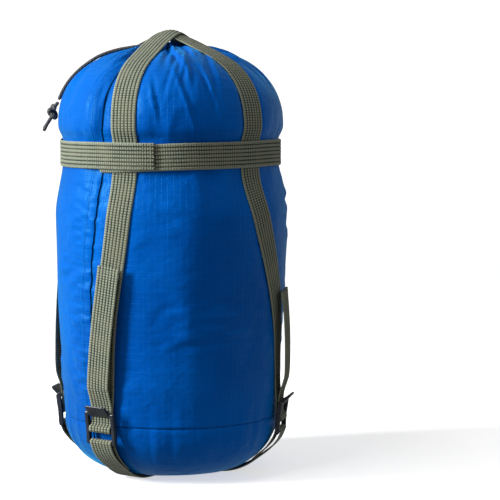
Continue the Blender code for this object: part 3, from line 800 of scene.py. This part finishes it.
def top_cloth(look):
    """The domed top: pleats that run down from the mouth, and the casing rolled at the mouth."""
    low_z = np.linspace(SPLIT_Z, SHOULDER_Z, 26)[:-1]
    end = CASING_RADIUS + CASING_TUBE + 0.0002
    share = np.linspace(0, 1, 92)
    arc = np.radians(90) * (1 - share)
    dome_r = end + (SHOULDER_RADIUS - end) * np.sin(arc)
    roll = np.radians(np.linspace(232, -40, 22))
    r = np.concatenate([side_radius(low_z), dome_r, CASING_RADIUS - CASING_TUBE * 1.12 * np.cos(roll)])
    z = np.concatenate([low_z, dome_height(dome_r), CASING_Z + CASING_TUBE * 1.12 * np.sin(roll)])
    run = np.concatenate([[0], np.cumsum(np.hypot(np.diff(r), np.diff(z)))])[:, None]
    azimuth = around_cloth()
    u = (azimuth[None] + 180) / 360 + r[:, None] * 0
    height = z[:, None] + azimuth[None] * 0
    plan = r[:, None] + azimuth[None] * 0
    mouth_run = run[len(low_z) + len(dome_r) - 1]
    reach = np.maximum(mouth_run - run, 0.0)

    press = np.zeros(plan.shape)
    strap = np.zeros(plan.shape)
    for middle in BAND_AZIMUTHS.values():
        angle = np.radians(turn_between(azimuth[None], middle))
        across = np.where(np.abs(angle) < np.pi / 2, np.abs(np.sin(angle)) * plan, 1.0)
        press = np.maximum(press, bell(across, 0.015))
        strap = np.maximum(strap, smooth((0.0145 - across) / 0.003))
    held = press * smooth((plan - 0.050) / 0.02)
    ends = smooth((height - BAND_HIGH_Z + 0.004) / 0.02)
    ends = np.where(reach > 0, ends, 0.0)

    lift = 0.0020 * (1 - held) * ends * smooth(reach / 0.02)
    rough = ripple(u + 0.15 * reach, run + azimuth[None] * 0, 30, 0.030, SEED + 20)
    lift = lift + 0.0012 * (0.45 - np.abs(rough)) * ends * (1 - held) * smooth(reach / 0.03)
    swell = ripple(u, run + azimuth[None] * 0, 13, 0.5, SEED + 6)
    lift = lift + 0.0022 * swell * ends * (1 - held) * smooth(reach / 0.03)
    rng = np.random.default_rng(SEED)
    centres = (np.arange(PLEATS) + rng.uniform(-0.34, 0.34, PLEATS)) * 360 / PLEATS - 180
    lengths = rng.choice([0.036, 0.050, 0.064, 0.080, 0.100], PLEATS, p=[0.20, 0.26, 0.24, 0.18, 0.12])
    depths = rng.uniform(0.8, 1.5, PLEATS)
    for centre, length, depth in zip(centres, lengths, depths):
        drift = rng.uniform(-140, 140) * reach + rng.uniform(-3, 3) * np.sin(reach / 0.014)
        away = np.radians(turn_between(azimuth[None], centre + drift)) * np.maximum(plan, 0.004)
        wide = 0.0009 + 0.030 * np.minimum(reach, 0.070)
        fade = np.exp(-((reach / length) ** 4)) * (1 - 0.85 * held)
        deep = depth * (0.0012 + 0.045 * np.minimum(reach, 0.030))
        lift = lift - deep * bell(away, wide) * fade
        lift = lift + 0.65 * deep * bell(away - 1.7 * wide, 1.1 * wide) * fade
    for _ in range(RIDGES):
        centre = rng.uniform(-180, 180)
        begin = rng.uniform(0.030, 0.100)
        size = rng.uniform(0.012, 0.030)
        drift = rng.uniform(-220, 220) * (reach - begin)
        away = np.radians(turn_between(azimuth[None], centre + drift)) * np.maximum(plan, 0.004)
        fade = bell(reach - begin, size) * (1 - held)
        crest = bell(away, 0.0016) - 0.6 * bell(away - 0.0030, 0.0022)
        lift = lift + rng.choice([-1, 1]) * rng.uniform(0.0006, 0.0016) * crest * fade
    seam = seam_azimuth(np.where(r > end, z, dome_height(end)))
    away = np.radians(turn_between(azimuth[None], seam[:, None])) * plan
    along = smooth(reach / 0.02)
    lift = lift - 0.0024 * bell(away, 0.0042) * ends * along + 0.0010 * bell(away + 0.009, 0.006) * ends * along
    waist = bell(height - BAND_HIGH_Z, 0.016) * smooth((height - BAND_HIGH_Z) / 0.004)
    lift = lift + 0.0009 * waist * ripple(u, height, 64, 0.4, SEED + 8) * (1 - 0.7 * held)
    cord_side = bell(np.radians(turn_between(azimuth[None], -90)) * plan, 0.009)
    lift = lift * (1 - cord_side) + np.minimum(lift, -0.0002) * cord_side
    room = handle_height(np.minimum(plan, 0.062)) - dome_height(plan) - WEB - HANDLE_SPREAD - GAP
    clear = np.maximum(np.where(plan < 0.062, room, 0.0), 0.0)
    lift = np.where(reach > 0, np.minimum(lift, LIFT_LIMIT), lift)
    ceiling = clear * strap + LIFT_LIMIT * (1 - strap)
    lift = np.where((reach > 0) & (strap > 0), np.minimum(lift, ceiling), lift)
    folds = np.sin(np.radians(azimuth[None]) * 15 + 0.9 * np.sin(np.radians(azimuth[None]) * 4))
    lift = np.where(reach > 0, lift, 0.00055 * folds)
    lift = np.where(height < BAND_HIGH_Z - 0.002, np.minimum(lift, 0.0), lift)
    obj = thick(skin("top_cloth", r, z, lift, look, seam))
    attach(obj, "top")
    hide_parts("top_fabric", "mouth_casing")


# ---------------------------------------------------------------- webbing


def sag_on(radius, tilt=1.0):
    """How far webbing's edges drop on a round surface."""
    return tilt * (np.hypot(radius, WEB_WIDTH / 2) - radius)


def girth_band(look):
    """The band round the shoulder, raised over the straps, its folded outer end lapped over its start."""
    turn = np.linspace(0, BAND_TURN, 420)
    azimuth = BAND_START + turn
    over = np.zeros(len(turn))
    for middle in BAND_AZIMUTHS.values():
        over = np.maximum(over, smooth((15 - np.abs(turn_between(azimuth, middle))) / 8))
    lap = smooth((turn - 336) / 22)
    radius = WAIST_RADIUS + 2 * GAP + WEB * 1.5 - 0.0006 * (1 - over) + (WEB + GAP + 0.0002) * lap
    droop = -0.0024 * (1 - smooth(turn / 70)) + 0.0004 * np.sin(np.radians(azimuth) * 2)
    centres = outward(azimuth) * radius[:, None] + UP * (WAIST_Z + droop)[:, None]
    obj = webbing("girth_band_web", centres, outward(azimuth), look, fold_end=HEM)
    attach(obj, "top")
    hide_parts("girth_band")
    return centres, outward(azimuth)


def handle_straps(look):
    """The two straps crossed over the mouth."""
    arc = math.acos(1.037 * HANDLE_LIFT_RADIUS / SHOULDER_RADIUS)
    for name, corner, side in (("top_strap_upper", "front_left", 1), ("top_strap_lower", "front_right", -1)):
        azimuth = BAND_AZIMUTHS[corner]
        half = []
        for z in np.linspace(SPLIT_Z, SHOULDER_Z, 7):
            radius = float(side_radius(z))
            half.append((radius + STRAP_OUT, z, sag_on(radius)))
        for n in range(1, 12):
            radius = SHOULDER_RADIUS * math.cos(arc * n / 11)
            slope = dome_slope(radius)
            size = math.hypot(1, slope)
            out, up = STRAP_OUT * slope / size, STRAP_OUT / size
            half.append((radius + out, dome_height(radius) + up, sag_on(radius, slope / size)))
        for n in range(13, -1, -1):
            radius = HANDLE_LIFT_RADIUS * 0.97 * n / 13
            sag = handle_height(radius) - handle_height(math.hypot(radius, WEB_WIDTH / 2))
            lift = side * HANDLE_SPREAD * float(smooth(2 - 2 * radius / HANDLE_LIFT_RADIUS))
            half.append((radius, handle_height(radius) + lift, sag))
        line = half + [(-radius, z, sag) for radius, z, sag in reversed(half[:-1])]
        mirrored = [(-radius, z, sag) for radius, z, sag in line]
        centres, normals, sag = plane_line(mirrored, azimuth + 180, 0.0020)
        obj = webbing(f"{name}_web", centres, normals, look, sag=sag)
        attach(obj, "top")
        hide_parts(name)


def side_straps(look):
    """The side straps between the band and the buckles."""
    top = SPLIT_Z - GAP
    foot = STRAP_FOOT_Z + GAP
    for corner in BAND_AZIMUTHS:
        z = np.linspace(top, foot, 90)
        azimuth = strap_azimuth(corner, z)
        slope = np.gradient(side_radius(z), z)
        normals = outward(azimuth) - UP * slope[:, None]
        normals /= np.linalg.norm(normals, axis=1, keepdims=True)
        stand = STRAP_OUT + 0.0006 * np.sin(np.pi * (top - z) / (top - foot)) ** 2
        radius = side_radius(z) + stand
        centres = outward(azimuth) * radius[:, None] + UP * z[:, None]
        sag = sag_on(side_radius(z)) * smooth((z - foot) / 0.02)
        obj = webbing(f"side_strap_{corner}_web", centres, normals, look, sag=sag)
        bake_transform(obj)
        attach(obj, "base")
        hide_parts(f"side_strap_{corner}")


def corner_arc(radius, stand, first, last):
    """(angle, reach) pairs round the base's corner, from the first share of the way to the last.
    The strap stands off the cloth by stand until it eases out to the given radius, level with the lower bar."""
    end = math.atan2(radius - FLAT_RADIUS, SEAM_Z - BUCKLE_Z)
    out = math.hypot(radius - FLAT_RADIUS, SEAM_Z - BUCKLE_Z) - CORNER_RADIUS - stand
    pairs = []
    for n in range(10):
        share = first + (last - first) * n / 9
        ease = float(smooth((share - FOLD_START) / (1 - FOLD_START)))
        pairs.append((share * end, CORNER_RADIUS + stand + out * ease))
    return pairs[1:] if first > last else pairs[:-1]


def base_strap_line(crossing):
    """(radius, height) points of one half of a base strap, from the base's middle to the end of its sewn fold."""
    out = BASE_Z - WEB / 2
    hump = WEB_WIDTH * 0.8
    flat = hump + HUMP_EASE
    line = []
    third = (FLAT_RADIUS - flat) / 3
    for radius in (0.0, hump / 2, hump, hump + 0.45 * HUMP_EASE, flat, flat + third, flat + 2 * third):
        line.append((radius, WEB / 2 + crossing * (1 - float(smooth((radius - hump) / HUMP_EASE)))))
    eye = LOWER_BAR_RADIUS + GAP + WEB / 2
    bar = FOOT_RADIUS + BUCKLE_OUT
    for angle, reach in corner_arc(bar + eye, out, 0.0, 1.0):
        line.append((FLAT_RADIUS + reach * math.sin(angle), SEAM_Z - reach * math.cos(angle)))
    for degrees in range(0, 181, 20):
        a = math.radians(degrees)
        line.append((bar + eye * math.cos(a), BUCKLE_Z + eye * math.sin(a)))
    for angle, reach in corner_arc(bar - eye, STRAP_OUT, 1.0, FOLD_START):
        line.append((FLAT_RADIUS + reach * math.sin(angle), SEAM_Z - reach * math.cos(angle)))
    return line


def base_straps(look):
    """The two straps crossed under the base, sewn round the buckles' lower bars."""
    lines = {}
    crossed = (("base_strap_lower", "front_left", 0.0), ("base_strap_upper", "front_right", WEB + GAP))
    for name, corner, crossing in crossed:
        half = base_strap_line(crossing)
        line = [(-radius, z) for radius, z in reversed(half[1:])] + half
        centres, normals, _ = plane_line(line, BUCKLE_AZIMUTHS[corner], 0.0008)
        obj = webbing(f"{name}_web", centres, normals, look)
        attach(obj, "base")
        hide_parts(name)
        lines[name] = (centres, normals)
    return lines


def wrap_lines():
    """(outward, up) points of the webbing through a buckle: the load side down to and round the middle bar,
    and the loose side from behind the upper bar out to the loose end."""
    bar_u = BUCKLE_OUT + MIDDLE_BAR[0]
    bar_v = MIDDLE_BAR[1]
    reach_u = MIDDLE_BAR_SIZE[0] / 2 + STRAP_OUT
    reach_v = MIDDLE_BAR_SIZE[1] / 2 + STRAP_OUT
    behind = BUCKLE_OUT + UPPER_BAR[0] - UPPER_BAR_SIZE[0] / 2 - STRAP_OUT
    load = bar_u - reach_u
    close = bar_v + 0.011
    first = []
    for rise in (WRAP_HEIGHT - bar_v, 0.028, 0.022, 0.016, 0.011):
        v = bar_v + rise
        wall = float(side_radius(BUCKLE_Z + v)) - FOOT_RADIUS + STRAP_OUT
        first.append((wall + (load - wall) * float(smooth((WRAP_HEIGHT - v) / (WRAP_HEIGHT - close))), v))
    first += [(load, bar_v + reach_v + 0.0029)]
    turn = MIDDLE_BAR_ROUND + STRAP_OUT
    core_u, core_v = (size / 2 - MIDDLE_BAR_ROUND for size in MIDDLE_BAR_SIZE)
    rounds = (
        (-1, -1, (180, 203, 226, 248, 270)),
        (1, -1, (285, 308, 331, 356)),
        (1, 1, (3, 26, 49, 68)),
    )
    for side_u, side_v, angles in rounds:
        for degrees in angles:
            a = math.radians(degrees)
            u = bar_u + side_u * core_u + turn * math.cos(a)
            first.append((u, bar_v + side_v * core_v + turn * math.sin(a)))
    first.append((behind + 0.0001, bar_v + reach_v + 0.0016))
    first += [(behind, UPPER_BAR[1] - 0.0035), (behind, UPPER_BAR[1] - 0.0012)]
    second = [(behind, UPPER_BAR[1] - 0.0012), (behind, UPPER_BAR[1] + 0.002)]
    exit_u = TAIL_RADIUS - FOOT_RADIUS
    above = WRAP_HEIGHT - UPPER_BAR[1]
    for rise in (0.0065, 0.0105, 0.0145, 0.0185, above):
        share = float(smooth((rise - 0.002) / (above + 0.002)))
        second.append((behind + (exit_u - behind) * share, UPPER_BAR[1] + rise))
    return first, second


def threaded_webbing(look):
    """The webbing through each buckle, and its loose end with a folded hem."""
    first, second = wrap_lines()
    ends = {}
    for corner, azimuth in BUCKLE_AZIMUTHS.items():
        out = outward(float(azimuth))
        line = [(FOOT_RADIUS + u, BUCKLE_Z + v) for u, v in first]
        centres, normals, _ = plane_line(line, azimuth, 0.0006)
        load = webbing(f"strap_through_buckle_{corner}", centres, normals, look)
        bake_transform(load)
        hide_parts(f"strap_wrap_{corner}")

        towards = math.copysign(1, BAND_AZIMUTHS[corner] - azimuth)
        across = np.cross((0, 0, 1.0), out)
        lean = math.radians(TAIL_LEAN) * towards
        up = np.array([0, 0, math.cos(lean)]) + across * math.sin(lean)
        foot = out * TAIL_RADIUS + (0, 0, STRAP_FOOT_Z)
        path = [out * (FOOT_RADIUS + u) + (0, 0, BUCKLE_Z + v) for u, v in second]
        for n in range(1, 12):
            along = TAIL_LENGTHS[corner] * n / 11
            swell = 0.0011 * math.sin(math.pi * n / 10)
            path.append(foot + up * along + out * swell)
        centres = through(path, 0.0015)
        slope = np.gradient(centres, axis=0)
        normals = out[None] - slope * (slope @ out / np.sum(slope * slope, axis=1))[:, None]
        tail = webbing(f"loose_end_{corner}", centres, normals, look, fold_end=HEM)
        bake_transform(tail)
        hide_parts(f"strap_tail_{corner}")
        ends[corner] = (centres[-1], normals[-1] / np.linalg.norm(normals[-1]), up)
    return ends


# ---------------------------------------------------------------- buckles


def outline_slab(points, low, high, steps=1):
    """A closed solid of an (outward, up) outline, from low to high across, in the buckle's own axes."""
    points = np.asarray(points, float)
    across = np.linspace(low, high, steps + 1)
    rows = np.stack([np.column_stack([points, np.full(len(points), at)]) for at in across])
    made = bmesh.new()
    rings = [[made.verts.new(point) for point in row] for row in rows]
    for low_ring, high_ring in zip(rings, rings[1:]):
        for n in range(len(points)):
            k = (n + 1) % len(points)
            made.faces.new((low_ring[n], low_ring[k], high_ring[k], high_ring[n]))
    made.faces.new(rings[0][::-1])
    made.faces.new(rings[-1])
    bmesh.ops.recalc_face_normals(made, faces=made.faces)
    return made


def round_box(centre, size, radius, steps=6):
    """The outline of a box with rounded corners."""
    points = []
    for k, (sx, sy) in enumerate(((1, 1), (-1, 1), (-1, -1), (1, -1))):
        for n in range(steps + 1):
            a = math.radians(90 * k + 90 * n / steps)
            cx = centre[0] + sx * (size[0] / 2 - radius)
            cy = centre[1] + sy * (size[1] / 2 - radius)
            points.append((cx + radius * math.cos(a), cy + radius * math.sin(a)))
    return points


def buckle_mesh():
    """A moulded ladder buckle: bowed rails, three bars and a thumb tab with grip ribs, in one skin."""
    inner = WEB_WIDTH / 2 + SIDE_PLAY
    outer = inner + RAIL_WIDTH
    into = RAIL_WIDTH / 2
    half = RAIL_DEPTH / 2
    top = UPPER_BAR[1] + UPPER_BAR_SIZE[1] / 2
    v = np.linspace(0, top - half, 14)
    waist = MIDDLE_BAR[0] * 1.1
    bow = waist + (UPPER_BAR[0] - waist) * smooth((v / top - 0.35) / 0.65) - 0.0011 * (1 - v / top) ** 2
    bow = np.where(v < 0.002, bow * v / 0.002, bow)
    foot = [(half * math.cos(a), half * math.sin(a)) for a in np.radians(range(180, 361, 20))]
    front = [(b + half, h) for b, h in zip(bow[1:], v[1:])]
    back = [(b - half, h) for b, h in zip(bow[::-1], v[::-1])][:-1]
    turns = np.radians(range(20, 161, 20))
    crown = [(UPPER_BAR[0] + half * math.cos(a), top - half + half * math.sin(a)) for a in turns]
    rail = foot + front + crown + back
    turns = np.linspace(0, 2 * np.pi, 20, endpoint=False)
    bar = [(LOWER_BAR_RADIUS * math.cos(a), LOWER_BAR_RADIUS * math.sin(a)) for a in turns]
    u0, v0 = UPPER_BAR
    tab = [
        (u0 - 0.0012, v0 - 0.0010), (u0 + 0.0012, v0 - 0.0012), (u0 + 0.0030, v0 + 0.0008),
        (u0 + 0.0055, v0 + 0.0036), (u0 + 0.0080, v0 + 0.0060), (u0 + 0.0078, v0 + 0.0074),
        (u0 + 0.0062, v0 + 0.0072), (u0 + 0.0036, v0 + 0.0052), (u0 + 0.0012, v0 + 0.0030),
        (u0 - 0.0006, v0 + 0.0019),
    ]
    core = [(p[0] * 0.93 + u0 * 0.07, p[1] * 0.93 + v0 * 0.07) for p in tab]
    reach = TAB_WIDTH / 2
    pieces = [
        outline_slab(rail, -outer, -inner),
        outline_slab(rail, inner, outer),
        outline_slab(bar, -inner - into, inner + into),
        outline_slab(round_box(MIDDLE_BAR, MIDDLE_BAR_SIZE, MIDDLE_BAR_ROUND), -inner - into, inner + into),
        outline_slab(round_box(UPPER_BAR, UPPER_BAR_SIZE, 0.0009), -inner - into, inner + into),
        outline_slab(tab, -reach, reach),
        outline_slab(core, -reach - 0.0018, reach + 0.0018),
    ]
    for n in range(3):
        at = 0.0030 + 0.0017 * n
        ridge = round_box((u0 + at + 0.0008, v0 + at * 0.98 - 0.0008), (0.0009, 0.0009), 0.0004)
        pieces.append(outline_slab(ridge, -reach + 0.002, reach - 0.002))
    whole = bmesh.new()
    for piece in pieces:
        mesh = bpy.data.meshes.new("piece")
        piece.to_mesh(mesh)
        piece.free()
        whole.from_mesh(mesh)
        bpy.data.meshes.remove(mesh)
    mesh = bpy.data.meshes.new("buckle")
    whole.to_mesh(mesh)
    whole.free()
    holder = bpy.data.objects.new("buckle", mesh)
    bpy.context.scene.collection.objects.link(holder)
    melt = holder.modifiers.new("Melt", "REMESH")
    melt.mode = "VOXEL"
    melt.voxel_size = 0.00036
    soften = holder.modifiers.new("Soften", "SMOOTH")
    soften.factor = 0.5
    soften.iterations = 4
    thin = holder.modifiers.new("Thin", "DECIMATE")
    thin.ratio = 0.35
    applied(holder)
    data = holder.data
    bpy.data.objects.remove(holder)
    return data


def buckles(look):
    """The four buckles, each in place on its lower bar's axis."""
    shared = buckle_mesh()
    for corner, azimuth in BUCKLE_AZIMUTHS.items():
        out = Vector(outward(float(azimuth)))
        side = out.cross(Vector((0, 0, 1)))
        turn = Matrix((out, (0, 0, 1), side)).transposed().to_4x4()
        mesh = shared.copy()
        mesh.transform(Matrix.Translation(out * (FOOT_RADIUS + BUCKLE_OUT) + Vector((0, 0, BUCKLE_Z))) @ turn)
        obj = facing_out(finished(f"buckle_{corner}_moulded", mesh, look))
        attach(obj, f"buckle_{corner}")
        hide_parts(f"ladder_buckle_{corner}")


# ---------------------------------------------------------------- stitches


def stitch_tree(look):
    """A node group that lays short thread stitches along a mesh's edges."""
    tree = bpy.data.node_groups.new("stitch_rows", "GeometryNodeTree")
    tree.interface.new_socket("Geometry", in_out="INPUT", socket_type="NodeSocketGeometry")
    for name, value in (("Pitch", STITCH), ("Stitch Length", STITCH * 0.72), ("Thread Radius", THREAD / 2)):
        socket = tree.interface.new_socket(name, in_out="INPUT", socket_type="NodeSocketFloat")
        socket.default_value = value
    tree.interface.new_socket("Geometry", in_out="OUTPUT", socket_type="NodeSocketGeometry")
    nodes = tree.nodes
    given = nodes.new("NodeGroupInput")
    result = nodes.new("NodeGroupOutput")
    curve = nodes.new("GeometryNodeMeshToCurve")
    points = nodes.new("GeometryNodeCurveToPoints")
    points.mode = "LENGTH"
    shape = nodes.new("GeometryNodeMeshUVSphere")
    shape.inputs["Segments"].default_value = 6
    shape.inputs["Rings"].default_value = 4
    shape.inputs["Radius"].default_value = 1.0
    size = nodes.new("ShaderNodeCombineXYZ")
    lay = nodes.new("GeometryNodeInstanceOnPoints")
    real = nodes.new("GeometryNodeRealizeInstances")
    paint = nodes.new("GeometryNodeSetMaterial")
    paint.inputs["Material"].default_value = look
    half = nodes.new("ShaderNodeMath")
    half.operation = "MULTIPLY"
    half.inputs[1].default_value = 0.5
    align = nodes.new("FunctionNodeAlignRotationToVector")
    align.axis = "Z"
    link = tree.links.new
    link(given.outputs["Geometry"], curve.inputs["Mesh"])
    link(curve.outputs["Curve"], points.inputs["Curve"])
    link(given.outputs["Pitch"], points.inputs["Length"])
    link(given.outputs["Thread Radius"], size.inputs["X"])
    link(given.outputs["Thread Radius"], size.inputs["Y"])
    link(given.outputs["Stitch Length"], half.inputs[0])
    link(half.outputs[0], size.inputs["Z"])
    link(points.outputs["Points"], lay.inputs["Points"])
    link(points.outputs["Tangent"], align.inputs["Vector"])
    link(align.outputs["Rotation"], lay.inputs["Rotation"])
    link(shape.outputs["Mesh"], lay.inputs["Instance"])
    link(size.outputs["Vector"], lay.inputs["Scale"])
    link(lay.outputs["Instances"], real.inputs["Geometry"])
    link(real.outputs["Geometry"], paint.inputs["Geometry"])
    link(paint.outputs["Geometry"], result.inputs["Geometry"])
    return tree


def stitched(name, lines, tree, look, pitch=STITCH):
    """Rows of stitches along lines of points."""
    verts, edges = [], []
    for line in lines:
        first = len(verts)
        verts += [tuple(point) for point in line]
        edges += [(n, n + 1) for n in range(first, len(verts) - 1)]
    mesh = bpy.data.meshes.new(name)
    mesh.from_pydata(verts, edges, [])
    obj = bpy.data.objects.new(name, mesh)
    bpy.context.scene.collection.objects.link(obj)
    rows = obj.modifiers.new("Rows", "NODES")
    rows.node_group = tree
    sockets = {item.name: item.identifier for item in tree.interface.items_tree if item.in_out == "INPUT"}
    rows[sockets["Pitch"]] = pitch
    rows[sockets["Stitch Length"]] = pitch * 0.72
    obj.update_tag()
    bpy.context.view_layer.update()
    applied(obj)
    obj.data.materials.clear()
    obj.data.materials.append(look)
    obj.data.shade_smooth()
    return obj


def offset_lines(centres, normals, offsets, height):
    """Lines beside a webbing's middle, lying on its outer face."""
    normals, across = frames_along(centres, normals)
    return [centres + across * side + normals * height for side in offsets]


def hem_lines(tip, normal, up, rows=(0.0035, 0.0068)):
    """Rows of stitches across a folded hem."""
    across = np.cross(up, normal)
    across /= np.linalg.norm(across)
    lines = []
    for back in rows:
        middle = tip - up * back + normal * (WEB / 2 + THREAD * 0.15)
        lines.append([middle + across * side for side in ACROSS])
    return lines


def stitching(band, ends, base_lines, olive):
    """All sewn rows: along the band, at its lap, on the hems and on the base straps' folds."""
    olive_rows = stitch_tree(olive)
    height = WEB / 2 + THREAD * 0.1
    centres, normals = band
    lines = offset_lines(centres, normals, (-STITCH_IN, STITCH_IN), height)
    step = (centres[-1] - centres[-3]) / np.linalg.norm(centres[-1] - centres[-3])
    lines += hem_lines(centres[-1], normals[-1], step, (0.0030, 0.0070))
    for azimuth in BAND_TACKS:
        spot = len(centres) - 1 - int((BAND_START + BAND_TURN - 360 - azimuth) / BAND_TURN * (len(centres) - 1))
        if 0 <= spot < len(centres):
            middle = centres[spot] + normals[spot] * height
            lines.append([middle + UP * rise for rise in ACROSS])
    obj = stitched("band_stitches", lines, olive_rows, olive)
    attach(obj, "top")
    for corner, (tip, normal, up) in ends.items():
        obj = stitched(f"hem_stitches_{corner}", hem_lines(tip, normal, up), olive_rows, olive)
        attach(obj, f"tail_{corner}")
    lines = []
    for centres, normals in base_lines.values():
        run = run_along(centres)
        for length in (0.046, 0.052):
            for spot in (int(np.searchsorted(run, length)), int(np.searchsorted(run, run[-1] - length))):
                frame_normals, across = frames_along(centres, normals)
                middle = centres[spot] + frame_normals[spot] * height
                lines.append([middle + across[spot] * side for side in ACROSS])
    obj = stitched("base_strap_stitches", lines, olive_rows, olive)
    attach(obj, "base")


# ---------------------------------------------------------------- stage


def stage():
    """A pale floor that curves up behind, soft lights and the camera."""
    angle = np.radians(np.linspace(0, 90, 24))
    curve = [(1.6 + 0.9 * math.sin(a), 0.9 - 0.9 * math.cos(a)) for a in angle[1:]]
    profile = [(-4.0, 0.0), (1.6, 0.0), *curve, (2.5, 4.0)]
    rows = [[(-5.0, y, z), (5.0, y, z)] for y, z in profile]
    uv = np.zeros((len(rows), 3, 2))
    floor = lofted("floor", rows, floor_look(), uv, closed=False, caps=False)
    floor.visible_diffuse = False
    floor.visible_glossy = False

    def area_light(name, power, size, place, aim, tint):
        data = bpy.data.lights.new(name, "AREA")
        data.energy = power
        data.shape = "RECTANGLE"
        data.size, data.size_y = size
        data.color = tint
        obj = bpy.data.objects.new(name, data)
        bpy.context.scene.collection.objects.link(obj)
        obj.location = place
        obj.rotation_euler = (Vector(aim) - Vector(place)).to_track_quat("-Z", "Y").to_euler()

    area_light("key", 66, (0.34, 0.9), (-1.75, -0.45, 0.85), (0, 0, 0.18), (0.96, 1.0, 1.0))
    area_light("top", 8, (0.6, 0.6), (-0.6, -0.5, 1.4), (0, 0, 0.30), (1, 1, 1))
    area_light("fill", 1.5, (0.8, 1.0), (1.6, -0.9, 0.5), (0, 0, 0.20), (0.9, 0.95, 1.0))
    world = bpy.data.worlds.new("studio")
    world.use_nodes = True
    world.node_tree.nodes["Background"].inputs["Color"].default_value = (1, 1, 1, 1)
    world.node_tree.nodes["Background"].inputs["Strength"].default_value = 0.30
    bpy.context.scene.world = world
    bpy.context.scene.view_settings.view_transform = "Standard"

    data = bpy.data.cameras.new("camera")
    data.lens = 133.6
    data.clip_end = 20
    camera = bpy.data.objects.new("camera", data)
    bpy.context.scene.collection.objects.link(camera)
    camera.location = (0.0, -1.6, 0.34)
    camera.rotation_euler = (math.radians(90 - 5.35), 0, math.radians(-2.44))
    bpy.context.scene.camera = camera


stage()
CLOTH_LOOK = cloth_look()
WEB_LOOK = webbing_look()
drawcord(cord_look())
base_cloth(CLOTH_LOOK)
side_cloth(CLOTH_LOOK)
top_cloth(CLOTH_LOOK)
BAND_LINE = girth_band(WEB_LOOK)
handle_straps(WEB_LOOK)
side_straps(WEB_LOOK)
BASE_LINES = base_straps(WEB_LOOK)
LOOSE_ENDS = threaded_webbing(WEB_LOOK)
buckles(plastic_look())
OLIVE_THREAD = thread_look("olive_thread", colour(0.16, 0.16, 0.11), colour(0.34, 0.34, 0.26))
stitching(BAND_LINE, LOOSE_ENDS, BASE_LINES, OLIVE_THREAD)
